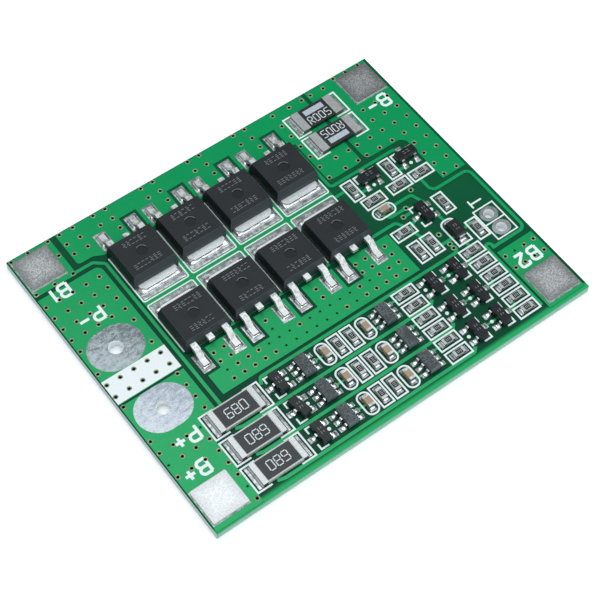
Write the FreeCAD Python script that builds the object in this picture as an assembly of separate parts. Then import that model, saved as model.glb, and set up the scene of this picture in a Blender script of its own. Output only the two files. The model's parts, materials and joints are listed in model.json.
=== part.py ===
import FreeCAD, Part
import math
import os

# Board layers, from the underside up
board_thickness = 1.2
copper_thickness = 0.07
land_thickness = 0.08
print_thickness = 0.03
edge_band = 0.15

# Plated holes and vias
via_drill_radius = 0.26
plugged_via_depth = 0.2
wire_hole_radius = 0.95
sensor_hole_radius = 0.7
wire_flange_width = 0.6
sensor_flange_width = 0.35
rear_flange_thickness = 0.05

# Printed lines
print_line = 0.22
fine_line = 0.18
print_clearance = 0.23

# Contact plates for welded battery strips
plate_length = 5.0
plate_width = 4.95
plate_thickness = 0.3
plate_land_margin = 0.06
plate_land_shift = 0.05
plate_corner_radius = 0.25
left_plate_inset = 0.34
right_plate_inset = 0.6
front_plate_inset = 1.0
back_plate_inset = 0.72

# Wire pads, the white bar between them and the sensor pads
wire_pad_length = 7.25
wire_pad_width = 6.0
wire_pad_inset = 0.62
pad_flat = 0.02
bar_width = 3.65
bar_clearance = 0.15
sensor_pad_length = 2.5
sensor_pad_width = 2.1
sensor_frame_length = 3.3

# Power transistor package
power_body_width = 6.5
power_body_length = 6.1
power_body_height = 2.3
power_body_lean = 0.28
power_body_standoff = 0.04
power_dimple_radius = 0.75
power_dimple_depth = 0.12
power_tab_width = 5.4
power_tab_reach = 1.0
power_tab_depth = 5.2
power_tab_chamfer = 0.6
power_tab_thickness = 0.5
power_lead_spacing = 2.285
power_lead_width = 0.8
power_lead_thickness = 0.5
power_lead_height = 1.15
power_lead_shoulder = 0.85
power_lead_foot = 1.15
power_lead_reach = 2.9
power_stub_reach = 0.8
power_lead_embed = 0.6

# Power transistor cells
power_columns = 4
cell_margin = 0.15
cell_gap = 0.4
cell_end = 1.27
cell_row_gap = 0.48
cell_print_length = 8.0
cell_print_radius = 0.35
power_land_width = 1.7
power_land_length = 2.8
power_land_toe = 0.65
tab_land_margin = 0.26
gate_clearance = 0.4

# Large chip resistors, for balancing and for current sensing
large_chip_length = 6.35
large_chip_width = 3.15
large_chip_height = 0.6
large_terminal = 0.65
sense_terminal = 1.15
large_land_reach = 0.6
large_land_depth = 1.5
large_print_clearance = 0.12
bracket_arm = 2.1
terminal_skin = 0.03

# Small chip parts
chip_length = 1.6
chip_width = 0.8
chip_resistor_height = 0.45
chip_capacitor_height = 0.8
chip_terminal = 0.32
chip_land_reach = 0.42
chip_land_depth = 0.8
chip_land_margin = 0.05
oval_clearance = 0.28

# Three-lead and six-lead packages and the diode
small_body_length = 2.9
small_body_width = 1.3
six_lead_body_width = 1.6
small_body_height = 1.1
small_body_standoff = 0.05
small_body_lean = 0.08
small_lead_thickness = 0.13
small_lead_height = 0.6
small_lead_shoulder = 0.12
small_lead_foot = 0.3
small_lead_embed = 0.15
small_lead_pitch = 0.95
three_lead_width = 0.42
three_lead_reach = 0.55
three_land_toe = 0.5
three_land_width = 0.75
six_lead_width = 0.4
six_lead_reach = 0.6
six_land_toe = 0.35
six_land_width = 0.62
small_land_depth = 1.0
mark_clearance = 0.05
mark_dot_radius = 0.24
diode_length = 2.4
diode_width = 1.6
diode_lead_width = 0.9
diode_lead_reach = 0.45
diode_land_toe = 0.3
diode_land_width = 1.1

# Copper tracks and the gaps between copper areas
track_width = 0.46
fine_track_width = 0.3
lane_gap = 0.52
cell_lane_gap = 0.32
pour_gap = 0.3
pour_corner = 0.9
bank_width = 9.1
bank_narrow = 6.6
bank_split = 19.95
cell_tap_width = 6.15
link_pour_gap = 0.85
track_bend = 0.5
arch_size = 0.8
lane_rise = 0.28
cell_tap_depth = 6.55
negative_bank_inset = 7.1
back_pour_depth = 6.15
back_pour_step = 5.5
strip_left = 7.0
drain_margin = 0.05
output_chamfer = 0.7
row_track_overrun = 5.6
columns_bend = 38.5
chip_offset = 0.8

# Rows of balancing circuits, each with a gap in front of every column
circuit_rows = 3
front_margin = 1.05
row_gap = 0.265
columns = [
    ("balance_resistor", 0.0),
    ("bypass_switch", 0.2),
    ("cell_monitor", 0.35),
    ("filter_capacitor", 0.43),
    ("filter_resistor", 0.13),
    ("sense_resistor", 0.2),
    ("delay_capacitor", 0.28),
    ("balance_monitor", 0.3),
    ("bias_resistors", 0.47),
    ("level_shifter", 0.25),
    ("gate_driver", 0.25),
    ("link_resistors", 0.1),
]
skewed_switch_row = 1
skewed_switch_turn = 12.0

# Strips of copper beside the power transistors
rows_to_pour = 0.66
front_strip = 3.55
back_strip = 3.03
front_pour_inset = 0.5
front_pour_overrun = 1.85
front_pour_depth = 6.55
drain_depth = 6.3

# Current-sense and output area on the right
sense_offset = 1.85
sense_gap = 0.25
sense_front_strip = 3.55
sense_back_strip = 1.9
sense_plate_gap = 1.3
right_pour_gap = 0.68
right_pour_width = 5.63
right_pour_depth = 10.45
right_edge_gap = 0.4
right_leg_width = 4.15
right_leg_front = 23.3

# Control cluster on the right
cluster_offset = 1.5
cluster_rise = 1.1
lower_gap = 0.8
middle_gap = 2.23
upper_gap = 0.2
cluster_lane = 1.3
sensor_inset = 3.0
sensor_rise = 2.65
sensor_pitch = 2.5

# Stitching vias
bank_via_inset = 0.5
bank_via_front = 0.9
bank_via_back = 1.3
bank_via_pitch = 1.91
bank_via_row_pitch = 1.87
edge_via_inset = 0.35
back_via_row_pitch = 1.75
cell_via_offsets = (-1.33, 0.46)
strip_via_inset = 2.83
strip_via_front = 1.05
strip_via_pitch = 1.53
strip_via_row_pitch = 1.42
right_via_pitch = 2.05
right_via_inset = 1.5
latch_gate_via = (-2.4, 1.1)
latch_feed_via = (-1.3, 2.0)
latch_upper_via = (1.0, 3.87)
latch_lower_via = (-0.5, -3.6)
latch_via_pad_radius = 0.42
diode_vias = ((-1.75, -1.05), (-1.75, -1.8))
via_land_clearance = 0.02
plugged_every = 7
plugged_middle = 25.4
plugged_reach = 6.2
sense_via_insets = (2.1, 4.15, 5.6, 7.7)

# Terminal marks, drawn as plain strokes
mark_stroke = 0.38
mark_height = 1.9
mark_width = 1.25
mark_space = 0.6
mark_inset = 1.1
mark_gap = 0.8
mark_rise = 0.7
tap_mark_drop = 0.85
wire_mark_shift = 1.45
wire_mark_offset = 7.15
wire_mark_back = 9.5

# Sizes worked out from the packages
seat_height = board_thickness + land_thickness
print_height = board_thickness + copper_thickness + print_thickness
power_length = power_tab_reach + power_body_length + power_lead_reach
cell_width = power_body_width + 2 * cell_margin
cell_pitch = cell_width + cell_gap
chip_frame_long = chip_length + 2 * (chip_land_reach + print_clearance + print_line)
chip_frame_short = chip_width + 2 * (chip_land_margin + print_clearance + print_line)
oval_frame_short = chip_width + 2 * (chip_land_margin + oval_clearance + print_line)
large_frame_long = large_chip_length + 2 * (large_land_reach + print_clearance + print_line)
large_frame_short = large_chip_width + 2 * (large_print_clearance + print_line)
three_lead_span = small_body_width + 2 * (three_lead_reach + three_land_toe)
six_lead_span = six_lead_body_width + 2 * (six_lead_reach + six_land_toe)
diode_span = diode_length + 2 * (diode_lead_reach + diode_land_toe)
diode_frame_long = diode_span + 2 * print_line
diode_frame_short = diode_width + 2 * (print_clearance / 2 + print_line)

# Chain of places from the front edge to the back edge
row_pitch = max(2 * (chip_frame_short + row_gap), large_frame_short + row_gap,
                small_body_length + track_width + 2 * print_line + row_gap)
rows_top = front_margin + circuit_rows * row_pitch
pour_front = rows_top + rows_to_pour
front_toe = pour_front + front_strip + power_land_toe
front_tab = front_toe + power_length
front_cell_line = front_tab + cell_end
back_cell_line = front_cell_line + cell_row_gap
back_tab = back_cell_line + cell_end
back_toe = back_tab + power_length
cluster_front = rows_top + cluster_rise
lower_resistor_y = cluster_front + chip_frame_long / 2
middle_resistor_y = cluster_front + chip_frame_long + lower_gap + chip_frame_short / 2
timing_capacitor_y = middle_resistor_y + chip_frame_short / 2 + middle_gap + oval_frame_short / 2
upper_resistor_y = timing_capacitor_y + oval_frame_short / 2 + upper_gap + chip_frame_short / 2
top_resistor_y = upper_resistor_y + chip_frame_short / 2 + upper_gap + chip_frame_long / 2
cluster_track_y = top_resistor_y + chip_frame_long / 2 + track_width
sense_front = top_resistor_y + chip_frame_long / 2 + cluster_lane
sense_y = [
    sense_front + sense_front_strip + large_frame_short / 2,
    sense_front + sense_front_strip + 1.5 * large_frame_short + sense_gap,
]
board_width = max(back_toe + power_land_toe + back_strip,
                  sense_y[1] + large_frame_short / 2 + sense_back_strip)

# Chain of places from the left edge to the right edge
bank_lane_x = bank_width + lane_gap + track_width / 2
cells_left = bank_width + lane_gap + track_width + cell_lane_gap
cells_right = cells_left + power_columns * cell_pitch - cell_gap
sense_left = cells_right + sense_offset
sense_right = sense_left + large_frame_long
sense_x = (sense_left + sense_right) / 2
cluster_left = cells_right + cluster_offset
footprint_widths = {
    "balance_resistor": large_frame_long,
    "bypass_switch": three_lead_span,
    "cell_monitor": six_lead_span,
    "filter_capacitor": oval_frame_short,
    "filter_resistor": chip_frame_short,
    "sense_resistor": chip_frame_short,
    "delay_capacitor": oval_frame_short,
    "balance_monitor": six_lead_span,
    "bias_resistors": chip_frame_long,
    "level_shifter": three_lead_span,
    "gate_driver": three_lead_span,
    "link_resistors": chip_frame_long,
}


def column_centres():
    """Place the columns of the balancing circuits one after another."""
    centres = {}
    edge = bank_narrow
    for name, gap in columns:
        width = footprint_widths[name]
        centres[name] = edge + gap + width / 2
        edge += gap + width
    return centres, edge


column_x, columns_right = column_centres()
board_length = max(columns_right + right_pour_gap + right_pour_width + right_edge_gap,
                   sense_right + sense_plate_gap + plate_length + right_plate_inset)
row_y = [front_margin + (row + 0.5) * row_pitch for row in range(circuit_rows)]
lane_y = [front_margin + row * row_pitch for row in range(circuit_rows + 1)]
cell_x = [cells_left + cell_width / 2 + column * cell_pitch for column in range(power_columns)]
right_pour_left = board_length - right_edge_gap - right_pour_width
right_leg_left = board_length - right_leg_width
link_track_x = column_x["link_resistors"] + chip_frame_long / 2 + lane_rise / 2
wire_pad_x = wire_pad_inset + wire_pad_length / 2
positive_pad_y = bank_split - bar_clearance - wire_pad_width / 2
negative_pad_y = bank_split + 2 * bar_clearance + bar_width + wire_pad_width / 2
sensor_x = board_length - sensor_inset
sensor_y = [right_pour_depth + sensor_rise + sensor_pitch * place for place in range(2)]

ORIGIN = FreeCAD.Vector(0, 0, 0)
UP = FreeCAD.Vector(0, 0, 1)
nodes = {}


# Plain shapes
def box(x0, x1, y0, y1, z0, z1):
    """A block between two corners."""
    return Part.makeBox(x1 - x0, y1 - y0, z1 - z0, FreeCAD.Vector(x0, y0, z0))


def block(length, width, z0, z1, x=0.0, y=0.0):
    """A block centred on x and y."""
    return box(x - length / 2, x + length / 2, y - width / 2, y + width / 2, z0, z1)


def post(radius, z0, z1, x=0.0, y=0.0):
    """An upright cylinder."""
    return Part.makeCylinder(radius, z1 - z0, FreeCAD.Vector(x, y, z0))


def outline_edges(corners):
    """Straight edges and rounded corners of a closed outline of (x, y, radius)."""
    count = len(corners)
    points = [FreeCAD.Vector(x, y, 0) for x, y, radius in corners]
    arcs = []
    for place in range(count):
        point = points[place]
        radius = corners[place][2]
        to_last = (points[place - 1] - point).normalize()
        to_next = (points[(place + 1) % count] - point).normalize()
        if radius <= 0:
            arcs.append((point, None, point))
            continue
        half = to_last.getAngle(to_next) / 2
        middle = (to_last + to_next).normalize()
        centre = point + middle * (radius / math.sin(half))
        setback = radius / math.tan(half)
        arcs.append((point + to_last * setback, centre - middle * radius, point + to_next * setback))
    edges = []
    for place in range(count):
        start, through, end = arcs[place]
        if through is not None:
            edges.append(Part.Arc(start, through, end).toShape())
        following = arcs[(place + 1) % count][0]
        if (following - end).Length > 1e-6:
            edges.append(Part.LineSegment(end, following).toShape())
    return edges


def slab(corners, z0, z1):
    """A flat plate with the given rounded outline."""
    wire = Part.Wire(outline_edges(corners))
    face = Part.Face(wire)
    face.translate(UP * z0)
    return face.extrude(UP * (z1 - z0))


def rounded_slab(length, width, radius, z0, z1, x=0.0, y=0.0):
    """A rectangular plate with four rounded corners."""
    left, right = x - length / 2, x + length / 2
    front, back = y - width / 2, y + width / 2
    corners = [(left, front, radius), (right, front, radius), (right, back, radius), (left, back, radius)]
    return slab(corners, z0, z1)


def ribbon(points, width, bend, z0, z1):
    """A flat band along the points, with rounded bends and square ends."""
    half = width / 2
    left = []
    right = []
    for place, (x, y) in enumerate(points):
        before = points[max(place - 1, 0)]
        after = points[min(place + 1, len(points) - 1)]
        ahead = math.atan2(after[1] - y, after[0] - x) if place < len(points) - 1 else None
        behind = math.atan2(y - before[1], x - before[0]) if place > 0 else ahead
        ahead = behind if ahead is None else ahead
        bending = math.remainder(ahead - behind, 2 * math.pi)
        lean = behind + bending / 2
        reach = half / math.cos(bending / 2)
        is_end = place in (0, len(points) - 1)
        inner = 0.0 if is_end else max(bend - half, 0.0)
        outer = 0.0 if is_end else bend + half
        left_radius, right_radius = (inner, outer) if bending >= 0 else (outer, inner)
        left.append((x - reach * math.sin(lean), y + reach * math.cos(lean), left_radius))
        right.append((x + reach * math.sin(lean), y - reach * math.cos(lean), right_radius))
    return slab(right + left[::-1], z0, z1)


def tapered_block(length, width, sections):
    """A moulded block through (height, inset) sections."""
    wires = []
    for height, inset in sections:
        a, b = length / 2 - inset, width / 2 - inset
        points = [(-a, -b), (a, -b), (a, b), (-a, b), (-a, -b)]
        wires.append(Part.makePolygon([FreeCAD.Vector(x, y, height) for x, y in points]))
    return Part.makeLoft(wires, True, True)


def bent_strip(path, thickness, width):
    """A strip along +X, bent up and down, centred on Y. path holds (x, z) points."""
    upper = []
    lower = []
    for place, (x, z) in enumerate(path):
        before = path[max(place - 1, 0)]
        after = path[min(place + 1, len(path) - 1)]
        ahead = math.atan2(after[1] - z, after[0] - x) if place < len(path) - 1 else None
        behind = math.atan2(z - before[1], x - before[0]) if place > 0 else ahead
        ahead = behind if ahead is None else ahead
        lean = (ahead + behind) / 2
        reach = thickness / 2 / math.cos((ahead - behind) / 2)
        upper.append(FreeCAD.Vector(x - reach * math.sin(lean), -width / 2, z + reach * math.cos(lean)))
        lower.append(FreeCAD.Vector(x + reach * math.sin(lean), -width / 2, z - reach * math.cos(lean)))
    ring = upper + lower[::-1] + upper[:1]
    return Part.Face(Part.makePolygon(ring)).extrude(FreeCAD.Vector(0, width, 0))


def turned(shape, angle, x=0.0, y=0.0):
    """A copy turned about the vertical and then moved."""
    copy = shape.copy()
    copy.rotate(ORIGIN, UP, angle)
    copy.translate(FreeCAD.Vector(x, y, 0))
    return copy


def cut_all(shape, tools):
    """Take a list of tools away from a shape."""
    return shape.cut(tools) if tools else shape


def ring_frame(length, width, line, radius=0.0):
    """A printed rectangle, drawn with one line width."""
    outer = rounded_slab(length, width, radius, board_thickness, print_height)
    inner_radius = max(radius - line, 0.0)
    inner = rounded_slab(length - 2 * line, width - 2 * line, inner_radius, board_thickness, print_height)
    return outer.cut(inner)


def land(length, width, x=0.0, y=0.0):
    """A tinned land for one terminal."""
    return block(length, width, board_thickness, seat_height, x, y)


# Packages, each with its middle on the origin and its seat at the lands' top
def chip(length, width, height, terminal):
    """A chip part along X: its body and its two wrapped terminals."""
    body = block(length - 2 * terminal, width, seat_height, seat_height + height - terminal_skin)
    ends = []
    for side in (-1, 1):
        middle = side * (length - terminal) / 2
        ends.append(block(terminal, width, seat_height, seat_height + height, middle))
    return body, ends


def chip_lands(length, width, reach, depth, margin):
    """The two lands under a chip part along X."""
    middle = length / 2 + reach - depth / 2
    return [land(depth, width + 2 * margin, side * middle) for side in (-1, 1)]


def lead(body_half, reach, width, toe_height, height, shoulder, foot, thickness, embed):
    """A bent lead that leaves a body along +X and ends flat on its land."""
    end = body_half + reach
    path = [
        (body_half - embed, height),
        (body_half + shoulder, height),
        (end - foot, toe_height),
        (end, toe_height),
    ]
    return bent_strip(path, thickness, width)


def small_lead(body_half, reach, width):
    """A lead of a small package."""
    foot_height = seat_height + small_lead_thickness / 2
    exit_height = seat_height + small_lead_height
    return lead(body_half, reach, width, foot_height, exit_height,
                small_lead_shoulder, small_lead_foot, small_lead_thickness, small_lead_embed)


def small_body(length, width):
    """A moulded body whose sides lean in above and below its parting line."""
    sections = [
        (seat_height + small_body_standoff, small_body_lean),
        (seat_height + small_lead_height, 0.0),
        (seat_height + small_body_height, small_body_lean),
    ]
    return tapered_block(length, width, sections)


def leaded_package(length, width, pins, reach, lead_width, land_toe, land_width):
    """A small package: pins lists (side, place along Y), side -1 or 1 along X."""
    leads = []
    lands = []
    for side, place in pins:
        angle = 0.0 if side > 0 else 180.0
        leads.append(turned(small_lead(length / 2, reach, lead_width), angle, 0.0, place))
        middle = length / 2 + reach + land_toe - small_land_depth / 2
        lands.append(land(small_land_depth, land_width, side * middle, place))
    body = cut_all(small_body(length, width), leads)
    return body, leads, lands


def three_lead_package():
    """One lead on the left and two on the right."""
    pins = [(-1, 0.0), (1, -small_lead_pitch), (1, small_lead_pitch)]
    return leaded_package(small_body_width, small_body_length, pins, three_lead_reach,
                          three_lead_width, three_land_toe, three_land_width)


def six_lead_package():
    """Three leads on each side."""
    pins = [(side, place * small_lead_pitch) for side in (-1, 1) for place in (-1, 0, 1)]
    return leaded_package(six_lead_body_width, small_body_length, pins, six_lead_reach,
                          six_lead_width, six_land_toe, six_land_width)


def diode_package():
    """A diode along X with one lead at each end."""
    pins = [(-1, 0.0), (1, 0.0)]
    return leaded_package(diode_length, diode_width, pins, diode_lead_reach,
                          diode_lead_width, diode_land_toe, diode_land_width)


def three_lead_marks():
    """Printed corner brackets beside the single lead and a dot between the others."""
    back = small_body_length / 2 + mark_clearance + print_line
    left = -(small_body_width / 2 + three_lead_reach)
    inner = three_land_width / 2 + print_clearance + print_line
    marks = []
    for side in (-1, 1):
        low, high = sorted((side * inner, side * back))
        marks.append(box(left, left + print_line, low, high, board_thickness, print_height))
        low, high = sorted((side * (back - print_line), side * back))
        marks.append(box(left + print_line, 0.0, low, high, board_thickness, print_height))
    marks.append(post(mark_dot_radius, board_thickness, print_height, -left))
    return marks


def power_body():
    """Moulded body of a power transistor, with the round mark of its ejector pin."""
    base = seat_height + power_body_standoff
    top = seat_height + power_body_height
    sections = [(base, 0.0), (seat_height + power_lead_height, 0.0), (top, power_body_lean)]
    body = tapered_block(power_body_width, power_body_length, sections)
    middle = power_tab_reach + power_body_length / 2
    body.translate(FreeCAD.Vector(0, middle, 0))
    return body.cut(post(power_dimple_radius, top - power_dimple_depth, top, 0.0, middle))


def power_tab_frame():
    """Heat tab with the short middle lead that rises from it inside the body."""
    half = power_tab_width / 2
    inner = half - power_tab_chamfer
    depth = power_tab_reach + power_tab_depth
    corners = [(-half, power_tab_chamfer, 0), (-inner, 0, 0), (inner, 0, 0),
               (half, power_tab_chamfer, 0), (half, depth, 0), (-half, depth, 0)]
    tab = slab(corners, seat_height, seat_height + power_tab_thickness)
    lead_low = seat_height + power_lead_height - power_lead_thickness / 2
    lead_top = lead_low + power_lead_thickness
    stub_end = power_tab_reach + power_body_length + power_stub_reach
    half_lead = power_lead_width / 2
    riser = box(-half_lead, half_lead, depth - power_lead_thickness, depth, seat_height, lead_top)
    stub = box(-half_lead, half_lead, depth - power_lead_thickness, stub_end, lead_low, lead_top)
    return tab.fuse([riser, stub]).removeSplitter()


def power_outer_lead(side):
    """Gate or source lead, bent down to its land."""
    foot_height = seat_height + power_lead_thickness / 2
    exit_height = seat_height + power_lead_height
    strip = lead(power_body_length / 2, power_lead_reach, power_lead_width, foot_height, exit_height,
                 power_lead_shoulder, power_lead_foot, power_lead_thickness, power_lead_embed)
    middle = power_tab_reach + power_body_length / 2
    return turned(strip, 90.0, side * power_lead_spacing, middle)


def power_package():
    """A power transistor along Y from its tab's end at 0 to its toes."""
    leads = [power_tab_frame(), power_outer_lead(-1), power_outer_lead(1)]
    return power_body().cut(leads), leads


def power_lead_land(side, margin=0.0):
    """The land of an outer lead, or its clearance in the copper when margin is set."""
    middle = power_length + power_land_toe - power_land_length / 2
    width = power_land_width + 2 * margin
    return land(width, power_land_length + 2 * margin, side * power_lead_spacing, middle)


def power_tab_land():
    """The wide tinned land under a tab."""
    half = cell_width / 2 - tab_land_margin
    front = fine_line - cell_end + tab_land_margin / 2
    return box(-half, half, front, power_tab_reach + power_tab_depth, board_thickness, seat_height)


def cell_print():
    """The printed line on three sides of a transistor's cell."""
    shapes = []
    for inset in (0.0, fine_line):
        half = cell_width / 2 - inset
        radius = cell_print_radius - inset
        front = inset - cell_end
        back = cell_print_length - cell_end + inset
        corners = [(-half, front, radius), (half, front, radius), (half, back, 0), (-half, back, 0)]
        shapes.append(slab(corners, board_thickness, print_height))
    return shapes[0].cut(shapes[1])


def large_chip_print():
    """Two printed brackets, one round each end of a large chip resistor."""
    frame = ring_frame(large_frame_long, large_frame_short, print_line)
    window = large_frame_long - 2 * bracket_arm
    return frame.cut(block(window, large_frame_short, board_thickness, print_height))


def diode_print():
    """A printed outline along X with a round end at the cathode."""
    shapes = []
    for inset in (0.0, print_line):
        half_long = diode_frame_long / 2 - inset
        half_short = diode_frame_short / 2 - inset
        nose = 0.8 * half_short
        corners = [(-half_long, -half_short, 0), (half_long, -half_short, nose),
                   (half_long, half_short, nose), (-half_long, half_short, 0)]
        shapes.append(slab(corners, board_thickness, print_height))
    return shapes[0].cut(shapes[1])


# Each package is built once and copied to its places
small_chip_lands = chip_lands(chip_length, chip_width, chip_land_reach, chip_land_depth, chip_land_margin)
small_resistor = chip(chip_length, chip_width, chip_resistor_height, chip_terminal)
small_capacitor = chip(chip_length, chip_width, chip_capacitor_height, chip_terminal)
three_lead = three_lead_package()
six_lead = six_lead_package()


# Collecting the placed pieces
def add(name, *shapes):
    """Put shapes in a named node."""
    nodes.setdefault(name, []).extend(shapes)


def place(name, shapes, x, y, turn=0.0):
    """Put copies of local shapes in a node at a place on the board."""
    add(name, *[turned(shape, turn, x, y) for shape in shapes])


def place_chip_resistor(x, y, turn=0.0):
    """A small resistor with its lands and its printed frame."""
    body, ends = small_resistor
    place("chip_resistor_bodies", [body], x, y, turn)
    place("chip_resistor_terminals", ends, x, y, turn)
    place("component_lands", small_chip_lands, x, y, turn)
    place("printed_lines", [ring_frame(chip_frame_long, chip_frame_short, print_line)], x, y, turn)


def place_chip_capacitor(x, y, turn=0.0):
    """A small capacitor with its lands and its oval printed frame."""
    body, ends = small_capacitor
    place("chip_capacitor_bodies", [body], x, y, turn)
    place("chip_capacitor_terminals", ends, x, y, turn)
    place("component_lands", small_chip_lands, x, y, turn)
    oval = ring_frame(chip_frame_long, oval_frame_short, print_line, 0.9 * oval_frame_short / 2)
    place("printed_lines", [oval], x, y, turn)


def place_three_lead(x, y, turn=0.0, skew=0.0):
    """A three-lead transistor; skew turns only the part on its lands."""
    body, leads, lands = three_lead
    place("small_transistor_bodies", [body], x, y, turn + skew)
    place("small_transistor_leads", leads, x, y, turn + skew)
    place("component_lands", lands, x, y, turn)
    place("printed_lines", three_lead_marks(), x, y, turn)


def place_six_lead(name, x, y):
    """A six-lead controller with nodes of its own."""
    body, leads, lands = six_lead
    place(name + "_body", [body], x, y)
    place(name + "_leads", leads, x, y)
    place("component_lands", lands, x, y)


def place_large_chip(name, x, y, terminal):
    """A large chip resistor with nodes of its own."""
    body, ends = chip(large_chip_length, large_chip_width, large_chip_height, terminal)
    place(name + "_body", [body], x, y)
    place(name + "_terminals", ends, x, y)
    lands = chip_lands(large_chip_length, large_chip_width, large_land_reach, large_land_depth, 0.0)
    place("component_lands", lands, x, y)
    place("printed_lines", [large_chip_print()], x, y)


def place_resistor_pair(x, y):
    """Two small resistors, one above the other, within one circuit row."""
    for side in (-1, 1):
        place_chip_resistor(x, y + side * row_pitch / 4)


def place_circuit_row(row):
    """One cell's balancing circuit, from its power resistor to its link resistors."""
    y = row_y[row]
    skew = skewed_switch_turn if row == skewed_switch_row else 0.0
    place_large_chip("balance_resistor_%d" % (row + 1), column_x["balance_resistor"], y, large_terminal)
    place_three_lead(column_x["bypass_switch"], y, 0.0, skew)
    place_six_lead("cell_monitor_%d" % (row + 1), column_x["cell_monitor"], y)
    place_chip_capacitor(column_x["filter_capacitor"], y, 90.0)
    place_chip_resistor(column_x["filter_resistor"], y, 90.0)
    place_chip_resistor(column_x["sense_resistor"], y, 90.0)
    place_chip_capacitor(column_x["delay_capacitor"], y, 90.0)
    place_six_lead("balance_monitor_%d" % (row + 1), column_x["balance_monitor"], y)
    place_resistor_pair(column_x["bias_resistors"], y)
    place_three_lead(column_x["level_shifter"], y, 180.0)
    place_three_lead(column_x["gate_driver"], y, 180.0)
    place_resistor_pair(column_x["link_resistors"], y)


def power_places():
    """Name, place and turn of every power transistor, discharge row first."""
    places = []
    for column, x in enumerate(cell_x):
        places.append(("discharge_transistor_%d" % (column + 1), x, front_tab, 180.0))
        places.append(("charge_transistor_%d" % (column + 1), x, back_tab, 0.0))
    return places


def place_power_transistors():
    """Two facing rows of power transistors with their lands and printed cells."""
    body, leads = power_package()
    lands = [power_tab_land(), power_lead_land(-1), power_lead_land(1)]
    for name, x, y, turn in power_places():
        place(name + "_body", [body], x, y, turn)
        place(name + "_leads", leads, x, y, turn)
        place("component_lands", lands, x, y, turn)
        place("printed_lines", [cell_print()], x, y, turn)


def gate_clearances():
    """The bare squares round the gate lands, as cutting tools."""
    tool = power_lead_land(1, gate_clearance)
    return [turned(tool, turn, x, y) for name, x, y, turn in power_places()]


def cluster_places():
    """Places of the control cluster: kind, x, y and turn."""
    half_short = chip_frame_short / 2
    half_long = chip_frame_long / 2
    half_part = small_body_length / 2 + print_line
    top_y = top_resistor_y
    first_x = cluster_left + half_short
    switch_x = first_x + half_short + pour_gap + half_part
    second_x = switch_x + half_part + 2 * pour_gap + half_short
    last_x = second_x + half_short + pour_gap + half_part
    flat_x = cluster_left + 0.55 + half_long
    low_x = cluster_left + 1.05 + half_short
    pair_x = low_x + chip_frame_short + 0.25
    diode_x = pair_x + half_short + 1.5 + diode_frame_short / 2
    drain_x = diode_x + diode_frame_short / 2 + 0.55 + half_short
    latch_x = flat_x + half_long + 0.45 + three_lead_span / 2
    feed_x = latch_x + three_lead_span / 2 + 0.48 + half_short
    return {
        "resistors": [
            (first_x, top_y, 90.0),
            (second_x, top_y, 90.0),
            (flat_x, upper_resistor_y, 0.0),
            (flat_x + chip_frame_long + 0.76, upper_resistor_y, 0.0),
            (flat_x + 2 * chip_frame_long + 0.95, upper_resistor_y, 0.0),
            (feed_x, middle_resistor_y + 0.7, 90.0),
            (flat_x, middle_resistor_y, 0.0),
            (low_x, lower_resistor_y, 90.0),
            (pair_x, lower_resistor_y, 90.0),
            (drain_x, lower_resistor_y - lower_gap * 1.85, 90.0),
        ],
        "capacitors": [(flat_x, timing_capacitor_y, 0.0)],
        "transistors": [
            (switch_x, top_y + 0.38, -90.0),
            (last_x, top_y + 0.38, -90.0),
            (latch_x, middle_resistor_y + 0.82, 0.0),
        ],
        "diode": (diode_x, lower_resistor_y - 0.25, 90.0),
    }


def place_cluster():
    """The small parts between the balancing rows and the sense resistors."""
    places = cluster_places()
    for x, y, turn in places["resistors"]:
        place_chip_resistor(x, y, turn)
    for x, y, turn in places["capacitors"]:
        place_chip_capacitor(x, y, turn)
    for x, y, turn in places["transistors"]:
        place_three_lead(x, y, turn)
    x, y, turn = places["diode"]
    body, leads, lands = diode_package()
    place("diode_body", [body], x, y, turn)
    place("diode_leads", leads, x, y, turn)
    place("component_lands", lands, x, y, turn)
    place("printed_lines", [diode_print()], x, y, turn)


def plate_places():
    """Name and middle of every contact plate."""
    left = left_plate_inset + plate_length / 2
    right = board_length - right_plate_inset - plate_length / 2
    front = front_plate_inset + plate_width / 2
    back = board_width - back_plate_inset - plate_width / 2
    return [
        ("b_plus_plate", left, front),
        ("b_minus_plate", right, back),
        ("b1_plate", left, back),
        ("b2_plate", right, front),
    ]


def place_plates():
    """Contact plates on their lands."""
    long_land = plate_length + 2 * plate_land_margin
    wide_land = plate_width + 2 * plate_land_margin
    top = seat_height + plate_thickness
    for name, x, y in plate_places():
        add(name, rounded_slab(plate_length, plate_width, plate_corner_radius, seat_height, top, x, y))
        add("component_lands", land(long_land, wide_land, x - plate_land_shift, y - plate_land_shift))


def plated_pad(top, radius, flange_radius, x, y):
    """A pad and the flange under the board, let into the laminate, round one hole."""
    hole = post(radius, 0.0, seat_height, x, y)
    flange = post(flange_radius, 0.0, rear_flange_thickness, x, y)
    return [top.cut(hole), flange.cut(hole)]


def plated_places():
    """Node, top shape, hole radius, flange radius and place of every plated pad."""
    places = []
    for name, y in (("p_plus_pad", positive_pad_y), ("p_minus_pad", negative_pad_y)):
        top = rounded_slab(wire_pad_length, wire_pad_width, wire_pad_width / 2 - pad_flat,
                           board_thickness, seat_height, wire_pad_x, y)
        flange_radius = wire_hole_radius + wire_flange_width
        places.append((name, top, wire_hole_radius, flange_radius, wire_pad_x, y))
    for y in sensor_y:
        top = rounded_slab(sensor_pad_length, sensor_pad_width, sensor_pad_width / 2 - pad_flat,
                           board_thickness, seat_height, sensor_x, y)
        flange_radius = sensor_hole_radius + sensor_flange_width
        places.append(("sensor_pads", top, sensor_hole_radius, flange_radius, sensor_x, y))
    return places


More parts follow.
